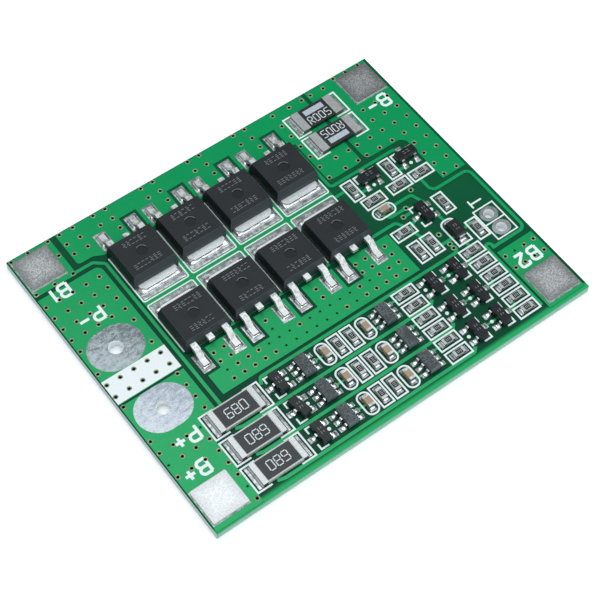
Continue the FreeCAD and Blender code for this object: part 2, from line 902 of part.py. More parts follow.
def place_plated_pads():
    """Wire pads and sensor pads, with the printed squares round the sensor pads."""
    for name, top, radius, flange_radius, x, y in plated_places():
        add(name, *plated_pad(top, radius, flange_radius, x, y))
    side = sensor_pitch + fine_line
    squares = [turned(ring_frame(sensor_frame_length, side, fine_line), 0.0, sensor_x, y) for y in sensor_y]
    add("printed_lines", squares[0].fuse(squares[1:]).removeSplitter())


def copper(corners):
    """A copper area with the given rounded outline."""
    return slab(corners, board_thickness, board_thickness + copper_thickness)


def copper_areas():
    """The masked copper areas, before anything is cut from them."""
    left = edge_band
    back = board_width - edge_band
    right = board_length - right_edge_gap
    half_gap = pour_gap / 2
    step = rows_top - pour_gap
    bank_end = board_width - negative_bank_inset
    tap_front = board_width - cell_tap_depth
    strip_low = board_width - back_pour_depth
    strip_step = board_width - back_pour_step
    output_left = sense_x + link_pour_gap
    drain_left = cells_left - drain_margin
    drain_right = cells_right + drain_margin
    return [
        copper([(left, left, 0), (bank_narrow, left, 0), (bank_narrow, step, 0), (bank_width, step, 0),
                (bank_width, bank_split - half_gap, 0), (left, bank_split - half_gap, 0)]),
        copper([(left, bank_split + half_gap, 0), (bank_width, bank_split + half_gap, 0),
                (bank_width, bank_end, pour_corner), (left, bank_end, 0)]),
        copper([(left, tap_front, 0), (cell_tap_width, tap_front, 0), (cell_tap_width, back, 0),
                (left, back, 0)]),
        copper([(drain_left, front_tab - drain_depth, 0), (drain_right, front_tab - drain_depth, 0),
                (drain_right, back_tab + drain_depth, 0), (drain_left, back_tab + drain_depth, 0)]),
        copper([(cells_left + front_pour_inset, pour_front, 0),
                (cells_right + front_pour_overrun, pour_front, 0),
                (cells_right + front_pour_overrun, pour_front + front_pour_depth, 0),
                (cells_left + front_pour_inset, pour_front + front_pour_depth, 0)]),
        copper([(strip_left, strip_step, pour_corner / 2), (bank_width, strip_step, pour_corner / 2),
                (cells_left, strip_low, pour_corner / 2), (sense_left - pour_corner, strip_low, 0),
                (sense_left - pour_corner, sense_front, pour_corner),
                (sense_x + pour_gap, sense_front, pour_corner), (sense_x + pour_gap, back, 0),
                (strip_left, back, 0)]),
        copper([(output_left, sense_front, pour_corner),
                (right_leg_left - output_chamfer, sense_front, 0),
                (right_leg_left, sense_front - output_chamfer, 0), (right_leg_left, right_leg_front, 0),
                (right, right_leg_front, 0), (right, back, 0), (output_left, back, 0)]),
        copper([(right_pour_left, right_edge_gap, 0), (right, right_edge_gap, 0),
                (right, right_pour_depth, 0), (right_pour_left, right_pour_depth, 0)]),
    ]


def track(points, width=track_width, bend=track_bend):
    """A masked track through the points, rounded at its bends and its ends."""
    return ribbon(points, width, bend, board_thickness, board_thickness + copper_thickness)


def row_tracks():
    """Tracks between the rows of balancing circuits."""
    tracks = []
    switch_left = column_x["bypass_switch"] - three_lead_span / 2
    for row in range(circuit_rows):
        y = lane_y[row]
        tracks.append(track([(bank_width + lane_rise, y + lane_rise), (cells_left, y), (columns_bend, y),
                             (columns_bend + 2 * lane_rise, y + 2 * lane_rise)]))
    for y in row_y:
        tracks.append(track([(column_x["cell_monitor"], y), (column_x["filter_capacitor"], y)],
                            fine_track_width))
        tracks.append(track([(column_x["delay_capacitor"], y - chip_offset),
                             (column_x["balance_monitor"], y - chip_offset)], fine_track_width))
        tracks.append(track([(column_x["balance_monitor"], y + small_lead_pitch),
                             (column_x["bias_resistors"], y + row_pitch / 4)], fine_track_width))
        tracks.append(track([(column_x["level_shifter"], y), (column_x["gate_driver"], y)],
                            fine_track_width))
        tracks.append(track([(column_x["gate_driver"], y), (column_x["link_resistors"] - chip_offset, y),
                             (column_x["link_resistors"] - chip_offset, y + row_pitch / 4)],
                            fine_track_width))
    tracks.append(track([(switch_left, rows_top - 2 * track_width), (switch_left + lane_gap, rows_top),
                         (cluster_left + row_track_overrun, rows_top),
                         (cluster_left + row_track_overrun + lane_gap, pour_front)]))
    arch_x = link_track_x + arch_size
    arch_y = right_pour_depth + pour_corner
    tracks.append(track([(link_track_x, front_margin + lane_rise), (link_track_x, arch_y + arch_size),
                         (arch_x, arch_y + arch_size), (arch_x, arch_y)], track_width, arch_size / 2))
    return tracks


def long_tracks():
    """Tracks that run past the power transistors and round the control cluster."""
    tap_y = board_width - cell_tap_depth + lane_rise
    gate_y = pour_front + front_pour_depth + lane_rise + track_width
    drain_x = cells_right + lane_gap
    loop_x = board_length - right_edge_gap - track_width / 2
    loop_y = right_leg_front - lane_gap - track_width / 2
    return [
        track([(cell_tap_width - track_width, tap_y), (bank_width - lane_gap, tap_y),
               (bank_lane_x, tap_y - 2 * lane_gap), (bank_lane_x, rows_top - lane_rise)]),
        track([(cells_left + cell_width / 2 - power_lead_spacing, front_toe + power_land_toe),
               (cells_left + cell_width / 2 - power_lead_spacing, gate_y),
               (cells_right + 2 * front_pour_overrun, gate_y),
               (cluster_left + power_body_height + lane_gap, gate_y - 2 * lane_gap)]),
        track([(drain_x, back_tab + drain_depth), (drain_x, cluster_track_y),
               (link_track_x, cluster_track_y), (link_track_x + pour_corner, top_resistor_y + chip_length)]),
        track([(link_track_x, upper_resistor_y), (link_track_x, loop_y), (loop_x, loop_y),
               (loop_x, right_pour_depth + pour_corner), (right_pour_left, right_pour_depth + pour_corner)],
              track_width, pour_corner),
        track([(cells_right - lane_gap, top_resistor_y + lane_gap),
               (cells_right + cluster_offset, top_resistor_y + lane_gap)]),
    ]


def latch_vias():
    """Vias round the latch transistor and the diode of the control cluster."""
    places = cluster_places()
    latch_x, latch_y = places["transistors"][2][:2]
    diode_x, diode_y = places["diode"][:2]
    spots = [(latch_x + across, latch_y + along)
             for across, along in (latch_gate_via, latch_feed_via, latch_upper_via, latch_lower_via)]
    return spots + [(diode_x + across, diode_y + along) for across, along in diode_vias]


def cluster_tracks():
    """Short tracks inside the control cluster."""
    places = cluster_places()
    resistors = places["resistors"]
    switches = places["transistors"]
    latch_x, latch_y = switches[2][:2]
    timing_x, timing_y = places["capacitors"][0][:2]
    diode_x, diode_y = places["diode"][:2]
    low_y = resistors[7][1] - chip_offset
    tracks = []
    for switch, near in ((switches[0], resistors[0]), (switches[1], resistors[1])):
        pin_y = switch[1] - small_body_width
        tracks.append(track([(near[0], near[1] - chip_offset), (switch[0] - small_lead_pitch, pin_y)]))
    tracks.append(track([(timing_x + chip_offset, timing_y), (latch_x + three_land_toe, timing_y),
                         (latch_x + small_body_width, latch_y + small_lead_pitch)]))
    gate_spot, feed_spot = latch_vias()[:2]
    tracks.append(track([(timing_x - chip_offset, timing_y), (timing_x, feed_spot[1]), feed_spot]))
    tracks.append(track([gate_spot, (latch_x - small_body_width, gate_spot[1])]))
    latch_feed = (resistors[6][0] + chip_offset, resistors[6][1])
    tracks.append(track([latch_feed, (latch_x - small_body_width, latch_y)]))
    tracks.append(track([latch_feed, resistors[8][:2]]))
    tracks.append(track([(latch_x + small_body_width, latch_y - small_lead_pitch),
                         (diode_x, diode_y + diode_length / 2)]))
    tracks.append(track([(resistors[8][0], low_y), (diode_x, low_y), (resistors[9][0], diode_y)]))
    tracks.append(track([(diode_x, diode_y - diode_length / 2), (diode_x, rows_top - lane_gap)]))
    tracks += [post(latch_via_pad_radius, board_thickness, board_thickness + copper_thickness, x, y)
               for x, y in latch_vias()]
    return tracks


def rounded_distance(x, y, zone):
    """Distance from a place to a rounded rectangle (middle, half sizes, radius)."""
    zone_x, zone_y, half_x, half_y, radius = zone
    out_x = max(abs(x - zone_x) - (half_x - radius), 0.0)
    out_y = max(abs(y - zone_y) - (half_y - radius), 0.0)
    return math.hypot(out_x, out_y) - radius


def land_zones():
    """Rounded rectangles that every via keeps out of."""
    zones = []
    for shape in nodes["component_lands"]:
        bounds = shape.BoundBox
        zones.append((bounds.Center.x, bounds.Center.y, bounds.XLength / 2, bounds.YLength / 2, 0.0))
    for y in (positive_pad_y, negative_pad_y):
        zones.append((wire_pad_x, y, wire_pad_length / 2, wire_pad_width / 2, wire_pad_width / 2 - pad_flat))
    return zones


def via_grid(first_x, pitch_x, count_x, first_y, pitch_y, count_y):
    """A rectangular grid of places."""
    places = []
    for row in range(count_y):
        for column in range(count_x):
            places.append((first_x + column * pitch_x, first_y + row * pitch_y))
    return places


def via_candidates():
    """Every stitching via before the ones that would meet a land are dropped."""
    edge = board_width - edge_via_inset
    tap_x = cell_tap_width - edge_via_inset
    places = via_grid(bank_via_inset, bank_via_pitch, 5, bank_split + bank_via_back, bank_via_pitch, 9)
    front_bank = via_grid(bank_via_inset, bank_via_pitch, 5, bank_via_front, bank_via_row_pitch, 11)
    tap_front = front_plate_inset + plate_width
    for x, y in front_bank:
        beside_plate = x > left_plate_inset + plate_length or y > tap_front + bank_via_row_pitch
        if beside_plate and (x < bank_narrow or y > rows_top):
            places.append((x, y))
    places += [(bank_via_inset, edge), (tap_x / 2, edge), (tap_x, edge)]
    places += via_grid(bank_via_inset, tap_x / 2 - bank_via_inset / 2, 3,
                       board_width - cell_tap_depth + edge_via_inset, cell_tap_depth / 2, 2)
    columns_at = [strip_left + bank_via_inset, bank_width + edge_via_inset]
    columns_at += [x + offset for x in cell_x for offset in cell_via_offsets]
    places += [(x, edge - row * back_via_row_pitch) for x in columns_at for row in range(3)]
    places += via_grid(sense_left - bank_via_inset, 0.0, 1, sense_front + bank_via_inset, right_via_pitch, 7)
    for inset in sense_via_insets:
        places += via_grid(sense_left + inset, 0.0, 1, sense_front + bank_via_inset, right_via_pitch, 2)
        places.append((sense_left + inset, edge - bank_via_inset))
    places += via_grid(cells_left + strip_via_inset, strip_via_pitch, 18, pour_front + strip_via_front,
                       strip_via_row_pitch, 4)
    right = board_length - right_via_inset
    places += via_grid(right, -right_via_pitch, 2, right_leg_front + bank_via_inset, right_via_pitch, 8)
    places += via_grid(right - 2 * right_via_pitch, 0.0, 1, sense_front + bank_via_inset, right_via_pitch, 4)
    places += via_grid(right, -right_via_pitch, 3, edge, 0.0, 1)
    places += via_grid(right_pour_left + bank_via_inset, strip_via_pitch, 4,
                       right_pour_depth - front_margin, -right_via_pitch, 2)
    return places


def plugged_here(number, x, y):
    """Most vias in the middle of the front strip are plugged, and a few in the bank and at its ends."""
    in_strip = x > cells_left and y < front_toe
    if in_strip and abs(x - plugged_middle) < plugged_reach:
        return number % plugged_every > 0
    return (in_strip or x < bank_width and y < bank_split) and number % plugged_every == 0


def via_places():
    """Through vias and plugged vias that keep clear of the lands and of one another."""
    zones = land_zones()
    kept = []
    for x, y in via_candidates():
        clear_of_lands = all(rounded_distance(x, y, zone) > via_drill_radius + via_land_clearance
                             for zone in zones)
        clear_of_vias = all(math.hypot(x - other_x, y - other_y) > 3 * via_drill_radius
                            for other_x, other_y in kept)
        if clear_of_lands and clear_of_vias:
            kept.append((x, y))
    plugged = [spot for number, spot in enumerate(kept) if plugged_here(number, *spot)]
    through = [spot for spot in kept if spot not in plugged]
    return through + latch_vias(), plugged


def make_board():
    """The laminate with every hole in it."""
    through, plugged = via_places()
    tools = [post(via_drill_radius, 0.0, board_thickness, x, y) for x, y in through]
    tools += [post(via_drill_radius, board_thickness - plugged_via_depth, board_thickness, x, y)
              for x, y in plugged]
    for name, top, radius, flange_radius, x, y in plated_places():
        tools.append(post(radius, 0.0, board_thickness, x, y))
        tools.append(post(flange_radius, 0.0, rear_flange_thickness, x, y))
    laminate = box(0.0, board_length, 0.0, board_width, 0.0, board_thickness)
    add("circuit_board", laminate.cut(tools))
    return [post(via_drill_radius, board_thickness, print_height, x, y) for x, y in through + plugged]


def copper_clearances(via_tools):
    """Everything that goes through a copper area."""
    tops = [spot[1] for spot in plated_places()]
    return via_tools + nodes["component_lands"] + tops


def cut_solids(shapes, tools):
    """Cut several separate shapes with the same tools."""
    solids = []
    for shape in shapes:
        bounds = shape.BoundBox
        near = [tool for tool in tools if tool.BoundBox.intersect(bounds)]
        solids += cut_all(shape, near).Solids
    return solids


def make_copper(via_tools):
    """Copper areas and tracks round the lands and the vias."""
    clear = copper_clearances(via_tools)
    areas = cut_solids(copper_areas(), gate_clearances())
    add("copper_areas", *cut_solids(areas, clear))
    pieces = row_tracks() + long_tracks() + cluster_tracks()
    tracks = pieces[0].fuse(pieces[1:]).removeSplitter().Solids
    add("copper_tracks", *cut_solids(tracks, clear + areas))
    return areas


def stroke(points, bend=0.0, width=mark_stroke):
    """One printed stroke of a terminal mark."""
    return ribbon(points, width, bend, board_thickness, print_height)


def letter_b(width, height):
    """The outline of the battery mark."""
    middle = height / 2
    bend = middle / 2
    upper = stroke([(0, height), (width, height), (width, middle), (0, middle)], bend)
    lower = stroke([(0, middle), (width, middle), (width, 0), (0, 0)], bend)
    return upper.fuse([lower, stroke([(0, 0), (0, height)])])


def letter_p(width, height):
    """The outline of the output mark."""
    middle = 0.45 * height
    bowl = stroke([(0, middle), (width, middle), (width, height), (0, height)], (height - middle) / 2.2)
    return bowl.fuse(stroke([(0, 0), (0, height)]))


def sign_mark(width, height, bars):
    """A plus when bars is two and a minus when it is one."""
    middle = height / 2
    shape = stroke([(0, middle), (width, middle)])
    if bars == 2:
        shape = shape.fuse(stroke([(width / 2, middle - width / 2), (width / 2, middle + width / 2)]))
    return shape


def digit_one(width, height):
    """The mark of the first cell tap."""
    flag = stroke([(0, 0.72 * height), (width / 2, height)])
    return flag.fuse(stroke([(width / 2, 0), (width / 2, height)]))


def digit_two(width, height):
    """The mark of the second cell tap."""
    hook = stroke([(0, 0.75 * height), (0, height), (width, height), (width, 0.6 * height), (0, 0)],
                  width / 5)
    return hook.fuse(stroke([(0, 0), (width, 0)]))


def terminal_marks():
    """Each mark turned to be read from the back edge, as (shape, right, back)."""
    tall = mark_height
    wide = mark_width
    step = mark_width + mark_space
    left = left_plate_inset + plate_length - mark_inset
    right = board_length - right_plate_inset - mark_inset
    front = front_plate_inset + plate_width + mark_gap + tall
    back = board_width - cell_tap_depth + mark_rise
    pad = wire_pad_x + wire_mark_shift
    marks = []
    for x, y, first, second in (
            (left, back - tap_mark_drop, letter_b(wide, tall), digit_one(wide / 2, tall)),
            (left, front, letter_b(wide, tall), sign_mark(wide, tall, 2)),
            (right, back - mark_rise / 2, letter_b(wide, tall), sign_mark(wide, tall, 1)),
            (right, front, letter_b(wide, tall), digit_two(wide, tall)),
            (pad, bank_split - wire_mark_offset, letter_p(wide, tall), sign_mark(wide, tall, 2)),
            (pad, bank_split + bar_width + wire_mark_back, letter_p(wide, tall), sign_mark(wide, tall, 1))):
        marks.append(turned(first, 180.0, x, y))
        marks.append(turned(second, 180.0, x - step, y))
    bar_x = sensor_x - sensor_frame_length / 2 + mark_height / 3
    bar_y = sensor_y[1] + 0.95 * sensor_pitch
    bar = stroke([(bar_x, bar_y - mark_height / 3), (bar_x, bar_y + mark_height / 3)], 0.0, print_line)
    stem = stroke([(bar_x, bar_y), (bar_x + 0.9 * mark_height, bar_y)], 0.0, print_line)
    return marks + [bar.fuse(stem).removeSplitter()]


def make_print(via_tools, areas):
    """Cut the printed shapes where copper, lands or vias stand in their place."""
    bar_front = bank_split + bar_clearance + fine_line / 2
    bar = box(edge_band, bank_width, bar_front, bar_front + bar_width, board_thickness, print_height)
    clear = copper_clearances(via_tools) + areas + nodes["copper_tracks"]
    nodes["printed_lines"] = cut_solids(nodes["printed_lines"], clear)
    add("divider_bar", *cut_solids([bar], clear))
    add("terminal_marks", *cut_solids(terminal_marks(), clear))


def export_nodes():
    """Centre the board on the origin and write one file for every node."""
    os.makedirs("parts", exist_ok=True)
    for name, shapes in nodes.items():
        shape = Part.makeCompound(shapes)
        shape.translate(FreeCAD.Vector(-board_length / 2, -board_width / 2, 0))
        shape.exportStep("parts/%s.step" % name)


place_plates()
place_power_transistors()
for number, sense_row_y in enumerate(sense_y):
    place_large_chip("sense_resistor_%d" % (number + 1), sense_x, sense_row_y, sense_terminal)
for circuit_row in range(circuit_rows):
    place_circuit_row(circuit_row)
place_cluster()
place_plated_pads()
via_cutters = make_board()
plain_areas = make_copper(via_cutters)
make_print(via_cutters, plain_areas)
export_nodes()
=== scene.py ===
import json
import math
import random

import bmesh
import bpy
from bpy.props import FloatProperty, FloatVectorProperty, IntProperty, PointerProperty
from mathutils import Matrix, Quaternion, Vector


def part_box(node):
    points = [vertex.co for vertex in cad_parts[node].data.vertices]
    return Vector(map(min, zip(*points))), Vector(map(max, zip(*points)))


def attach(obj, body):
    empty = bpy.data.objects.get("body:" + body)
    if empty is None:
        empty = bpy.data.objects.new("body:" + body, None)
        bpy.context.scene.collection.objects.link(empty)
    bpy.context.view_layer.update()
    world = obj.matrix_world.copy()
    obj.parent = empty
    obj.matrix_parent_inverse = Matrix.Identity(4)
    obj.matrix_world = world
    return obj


bl_info = {
    "name": "Battery Management Board",
    "version": (1, 0, 0),
    "blender": (4, 5, 0),
    "location": "3D View > Sidebar > Board",
    "description": "Dresses the packed battery management board and its studio",
    "category": "Object",
}

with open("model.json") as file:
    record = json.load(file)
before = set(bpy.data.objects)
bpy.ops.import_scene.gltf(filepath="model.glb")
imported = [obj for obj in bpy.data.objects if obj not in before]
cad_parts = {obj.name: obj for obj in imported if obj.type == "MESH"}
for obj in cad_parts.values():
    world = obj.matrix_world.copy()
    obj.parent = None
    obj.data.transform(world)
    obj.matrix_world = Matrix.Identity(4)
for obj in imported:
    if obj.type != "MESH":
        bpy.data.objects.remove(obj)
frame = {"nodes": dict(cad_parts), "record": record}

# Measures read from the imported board
MM = 0.001
BOARD_HALF_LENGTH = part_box("circuit_board")[1].x
BOARD_HALF_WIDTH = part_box("circuit_board")[1].y
BOARD_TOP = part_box("circuit_board")[1].z
LAND_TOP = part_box("component_lands")[1].z
COPPER_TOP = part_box("copper_areas")[1].z
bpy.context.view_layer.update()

# Distances that several pieces share
WELD = 0.002 * MM
CLOSE = 0.02 * MM
FILM = 0.01 * MM
MARK_DEPTH = 0.006 * MM

# Colours that stay as they are, in linear light
MASK_EDGE = (0.02, 0.42, 0.13)
FIBRE = (0.48, 0.72, 0.59)
FIBRE_END = (0.78, 0.76, 0.84)
EDGE_MINT = (0.11, 0.55, 0.27)
EDGE_MINT_END = (0.5, 0.86, 0.66)
# Near white painted on the plates' sides, as a painted highlight
PLATE_SIDE_HIGHLIGHT = (0.88, 0.9, 0.9)
VIA_RIM = (0.32, 0.37, 0.22)
BARE_COPPER = (0.5, 0.2, 0.09)
# Dark ends of the wire and sensor pads: their worn patches, and also the painted shade towards the back right
PLUS_PAD_WORN_AND_SHADED = (0.34, 0.38, 0.43)
MINUS_PAD_WORN_AND_SHADED = (0.15, 0.18, 0.18)
SENSOR_PAD_WORN_AND_SHADED = (0.18, 0.2, 0.2)
WIRE_LINING = (0.9, 0.93, 0.95)
WIRE_LINING_PALE = (0.96, 0.98, 0.98)
SENSOR_LINING = (0.86, 0.9, 0.9)
CODE_INK = (0.8, 0.84, 0.84)
PALE_FIELD = (0.52, 0.57, 0.64)
CHIP_MARK = (0.62, 0.64, 0.64)
# Grey of the etched dashes, also used for the painted highlight arc on each dimple's rim
ETCHED_MARK_AND_ARC_HIGHLIGHT = (0.22, 0.24, 0.25)
SMALL_MARK = (0.26, 0.27, 0.27)
FLOOR = (0.9, 0.9, 0.9)
FLOOR_PALE = (0.93, 0.93, 0.93)
FLOOR_GLOW = (0.25, 0.25, 0.25)
NO_GLOW = (0.0, 0.0, 0.0)
DAYLIGHT = (0.93, 1.0, 1.03)

# Specular level of the solder mask
MASK_SHINE = 0.1


# Settings shown in the sidebar
def length(name, value, description):
    """A setting for a length, given in millimetres."""
    return FloatProperty(name=name, description=description, default=value * MM, min=0.0, unit="LENGTH")


def paint(name, value, description):
    """A setting for a colour, in linear light."""
    return FloatVectorProperty(name=name, description=description, default=value, min=0.0, max=1.0,
                               subtype="COLOR")


class ColourSettings(bpy.types.PropertyGroup):
    """Colours of the finishes. Near ones are for the front left corner, where the mask over copper is painted
    paler as painted light and the bare mask darker as painted shade.
    """
    bare_mask: paint("Bare mask", (0.0018, 0.09, 0.034), "Mask on the laminate")
    bare_mask_near: paint("Bare mask, near", (0.001, 0.058, 0.026), "Mask on the laminate, near")
    area_mask: paint("Area mask", (0.003, 0.332, 0.104), "Mask on the copper areas")
    area_mask_near: paint("Area mask, near", (0.034, 0.455, 0.155), "Mask on the copper areas, near")
    track_mask: paint("Track mask", (0.008, 0.352, 0.118), "Mask on the tracks")
    track_mask_near: paint("Track mask, near", (0.04, 0.465, 0.165), "Mask on the tracks, near")
    ink: paint("Ink", (0.93, 0.96, 0.97), "Printed outlines and letters")
    solder: paint("Solder", (0.74, 0.75, 0.76), "Lands and joints")
    tin: paint("Tin", (0.8, 0.8, 0.79), "Leads and terminals")
    nickel: paint("Nickel", (0.4, 0.4, 0.4), "Contact plates")
    plus_pad: paint("Plus pad", (0.65, 0.69, 0.74), "Positive wire pad")
    minus_pad: paint("Minus pad", (0.48, 0.53, 0.56), "Negative wire pad")
    sensor_pad: paint("Sensor pad", (0.4, 0.42, 0.43), "Sensor pads")
    epoxy: paint("Epoxy", (0.0172, 0.0207, 0.0232), "Moulded transistors")
    controller: paint("Controller", (0.0395, 0.0465, 0.048), "Six-lead controllers")
    glaze: paint("Glaze", (0.016, 0.018, 0.02), "Black tops of the resistors")
    ceramic: paint("Ceramic", (0.62, 0.64, 0.62), "Resistor bodies")
    capacitor: paint("Capacitor", (0.42, 0.3, 0.19), "Capacitor bodies")


class SolderSettings(bpy.types.PropertyGroup):
    """How far solder climbs and how finely it is drawn."""
    chip_rise: length("Chip rise", 0.24, "Height of solder at a chip's end")
    lead_rise: length("Lead rise", 0.16, "Height of solder at a small lead")
    power_rise: length("Power rise", 0.17, "Height of solder at a power lead")
    tab_rise: length("Tab rise", 0.24, "Height of solder at a power tab")
    tab_reach: length("Tab reach", 0.26, "How far solder spreads from a power tab")
    reach: length("Reach", 0.26, "How far solder spreads from a foot")
    pitch: length("Grid", 0.08, "Grid pitch of the joints")


class DetailSettings(bpy.types.PropertyGroup):
    """Vias, codes and marks."""
    via_radius: length("Via radius", 0.19, "Open radius of a plated via")
    ring_radius: length("Ring radius", 0.34, "Outer radius of a via's ring")
    code_line: length("Code line", 0.12, "Line width of the value codes")
    mark_seed: IntProperty(name="Mark seed", description="Choice of the etched strokes", default=7)


class StudioSettings(bpy.types.PropertyGroup):
    """Lights and camera."""
    key_power: FloatProperty(name="Key", description="Power of the overhead panel", default=0.7, min=0.0,
                             unit="POWER")
    fill_power: FloatProperty(name="Fill", description="Power of the front panel", default=0.17, min=0.0,
                              unit="POWER")
    room: FloatProperty(name="Room", description="Brightness of the surrounding room", default=0.33, min=0.0,
                        max=1.0, subtype="FACTOR")
    focal: FloatProperty(name="Focal length", description="Length of the lens", default=98.44, min=1.0,
                         unit="CAMERA")
    camera_place: FloatVectorProperty(name="Camera", description="Place of the camera",
                                      default=(-0.0682, -0.08696, 0.17029), subtype="TRANSLATION",
                                      unit="LENGTH")


class BoardSettings(bpy.types.PropertyGroup):
    """Everything the panel shows."""
    colours: PointerProperty(type=ColourSettings)
    solder: PointerProperty(type=SolderSettings)
    detail: PointerProperty(type=DetailSettings)
    studio: PointerProperty(type=StudioSettings)


def settings():
    """The scene's own settings."""
    return bpy.context.scene.board_settings


# Shader graphs written as sums
def shade(colour, factor):
    """The colour made lighter or darker."""
    return tuple(min(part * factor, 1.0) for part in colour)


class Wire:
    """A node socket that takes part in sums."""

    def __init__(self, graph, socket):
        self.graph = graph
        self.socket = socket

    def _math(self, operation, other=None, reflected=False):
        node = self.graph.tree.nodes.new("ShaderNodeMath")
        node.operation = operation
        operands = [self] if other is None else [self, other]
        for index, operand in enumerate(reversed(operands) if reflected else operands):
            self.graph.feed(node.inputs[index], operand)
        return Wire(self.graph, node.outputs[0])

    def __add__(self, other):
        return self._math("ADD", other)

    def __radd__(self, other):
        return self._math("ADD", other, True)

    def __sub__(self, other):
        return self._math("SUBTRACT", other)

    def __rsub__(self, other):
        return self._math("SUBTRACT", other, True)

    def __mul__(self, other):
        return self._math("MULTIPLY", other)

    def __rmul__(self, other):
        return self._math("MULTIPLY", other, True)

    def __abs__(self):
        return self._math("ABSOLUTE")

    def larger(self, other):
        """The larger of this and the other."""
        return self._math("MAXIMUM", other)

    def above(self, limit):
        """1 where this is more than the limit and 0 elsewhere."""
        return self._math("GREATER_THAN", limit)

    def ramp(self, start, end):
        """A smooth rise from 0 at the start to 1 at the end, which may be the lower of the two."""
        return self.graph.add("ShaderNodeMapRange", {"interpolation_type": "SMOOTHSTEP"}, "Result",
                              {0: self, 1: start, 2: end, 3: 0.0, 4: 1.0})

    def mix(self, first, second):
        """The first colour where this is 0 and the second where it is 1."""
        return self.graph.add("ShaderNodeMix", {"data_type": "RGBA"}, 2, {0: self, 6: first, 7: second})

    def vary(self, colour, least, most):
        """The colour times the least factor where this is 0 and the most where it is 1."""
        return self.mix(shade(colour, least), shade(colour, most))


class Graph:
    """One material and the nodes that feed its shader."""

    def __init__(self, name):
        self.material = bpy.data.materials.new(name)
        self.material.use_nodes = True
        self.tree = self.material.node_tree
        self.shader = self.tree.nodes["Principled BSDF"]

    def feed(self, socket, value):
        """Link a wire to a socket, or set the socket's own value."""
        if isinstance(value, Wire):
            self.tree.links.new(value.socket, socket)
        elif hasattr(socket.default_value, "__len__") and hasattr(value, "__len__"):
            size = len(socket.default_value)
            socket.default_value = (tuple(value) + (1.0,))[:size]
        else:
            socket.default_value = value

    def add(self, kind, options, output, inputs):
        """A node of one type: its options, the output wanted and its inputs."""
        node = self.tree.nodes.new(kind)
        for name, value in options.items():
            setattr(node, name, value)
        for key, value in inputs.items():
            self.feed(node.inputs[key], value)
        return Wire(self, node.outputs[output])

    def place(self):
        """The place on the object, in millimetres."""
        spot = self.add("ShaderNodeTexCoord", {}, "Object", {})
        return self.add("ShaderNodeVectorMath", {"operation": "SCALE"}, 0, {0: spot, 3: 1.0 / MM})

    def axis(self, name):
        """One coordinate of the place on the object, in millimetres."""
        return self.add("ShaderNodeSeparateXYZ", {}, name, {0: self.place()})

    def facing(self, name):
        """One coordinate of the surface's true normal."""
        normal = self.add("ShaderNodeNewGeometry", {}, "True Normal", {})
        return self.add("ShaderNodeSeparateXYZ", {}, name, {0: normal})

    def past_outline(self):
        """How far a place is outside the board, in millimetres, and less than 0 inside it."""
        past_end = abs(self.axis("X")) - BOARD_HALF_LENGTH / MM
        return past_end.larger(abs(self.axis("Y")) - BOARD_HALF_WIDTH / MM)

    def near(self, start, end):
        """Rises towards the front left corner, between two lines across the board, in millimetres."""
        slant_x, slant_y = 0.59, 0.81
        return (self.axis("X") * slant_x + self.axis("Y") * slant_y).ramp(start, end)

    def noise(self, size, stretch=(1.0, 1.0, 1.0), detail=3.0, roughness=0.55, shift=0.0):
        """Soft noise with features of the given size in millimetres."""
        offset = (shift, shift, shift)
        moved = self.add("ShaderNodeVectorMath", {"operation": "ADD"}, 0, {0: self.place(), 1: offset})
        scaled = self.add("ShaderNodeVectorMath", {"operation": "MULTIPLY"}, 0, {0: moved, 1: stretch})
        return self.add("ShaderNodeTexNoise", {}, "Fac",
                        {"Vector": scaled, "Scale": 1.0 / size, "Detail": detail, "Roughness": roughness})

    def bump(self, height, strength, depth):
        """A normal from a height; depth is in millimetres."""
        return self.add("ShaderNodeBump", {}, "Normal",
                        {"Height": height, "Strength": strength, "Distance": depth * MM})

    def finish(self, **values):
        """Set or link the shader's own inputs, with spaces written as underscores."""
        for name, value in values.items():
            self.feed(self.shader.inputs[name.replace("_", " ")], value)
        return self.material


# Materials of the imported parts, with sizes and heights in millimetres
def laminate(colours):
    """Dark solder mask on top and below, with the pale fibre of the board on its edges."""
    edge_margin = 0.1
    resin_depth, mask_depth, seam_depth = 0.75, 0.1, 0.02
    rim_start, rim_end = 1.0, 0.25
    graph = Graph("laminate")
    grain = graph.noise(0.35)
    clouds = graph.noise(6.0)
    # The bare mask is painted darker towards the front left corner, as painted shade.
    ends = [clouds.vary(tint, 0.8, 1.35) for tint in (colours.bare_mask, colours.bare_mask_near)]
    mask = graph.near(start=15.0, end=-5.0).mix(*ends)
    # Within a millimetre of the front edge the top is painted paler, as a painted highlight along that edge.
    from_front = graph.axis("Y") + BOARD_HALF_WIDTH / MM
    rimmed = from_front.ramp(rim_start, rim_end).mix(mask, MASK_EDGE)
    is_side = 1.0 - abs(graph.facing("Z")).above(0.5)
    is_edge = is_side * graph.past_outline().above(-edge_margin)
    is_end = abs(graph.facing("X")).above(0.5)
    layers = graph.noise(0.5, stretch=(0.3, 0.3, 4.0)).ramp(0.2, 0.6)
    fibre = is_end.mix(layers.vary(FIBRE, 0.75, 1.0), layers.vary(FIBRE_END, 0.85, 1.0))
    depth = BOARD_TOP / MM - graph.axis("Z")
    resin = depth.ramp(resin_depth, mask_depth).mix(fibre, is_end.mix(EDGE_MINT, EDGE_MINT_END))
    edge = depth.ramp(mask_depth, seam_depth).mix(resin, MASK_EDGE)
    return graph.finish(Base_Color=is_edge.mix(rimmed, edge), Roughness=grain * 0.14 + 0.3,
                        Normal=graph.bump(grain, strength=0.25, depth=0.02), Specular_IOR_Level=MASK_SHINE)


def mask_tone(graph, tints):
    """Cloudy green, painted a little paler towards the front left corner, as painted light."""
    clouds = graph.noise(7.0)
    fine = graph.noise(0.12).ramp(0.35, 0.75)
    ends = [fine.mix(shade(tint, 0.9), clouds.vary(tint, 0.84, 1.2)) for tint in tints]
    return graph.near(start=20.0, end=-34.0).mix(*ends)


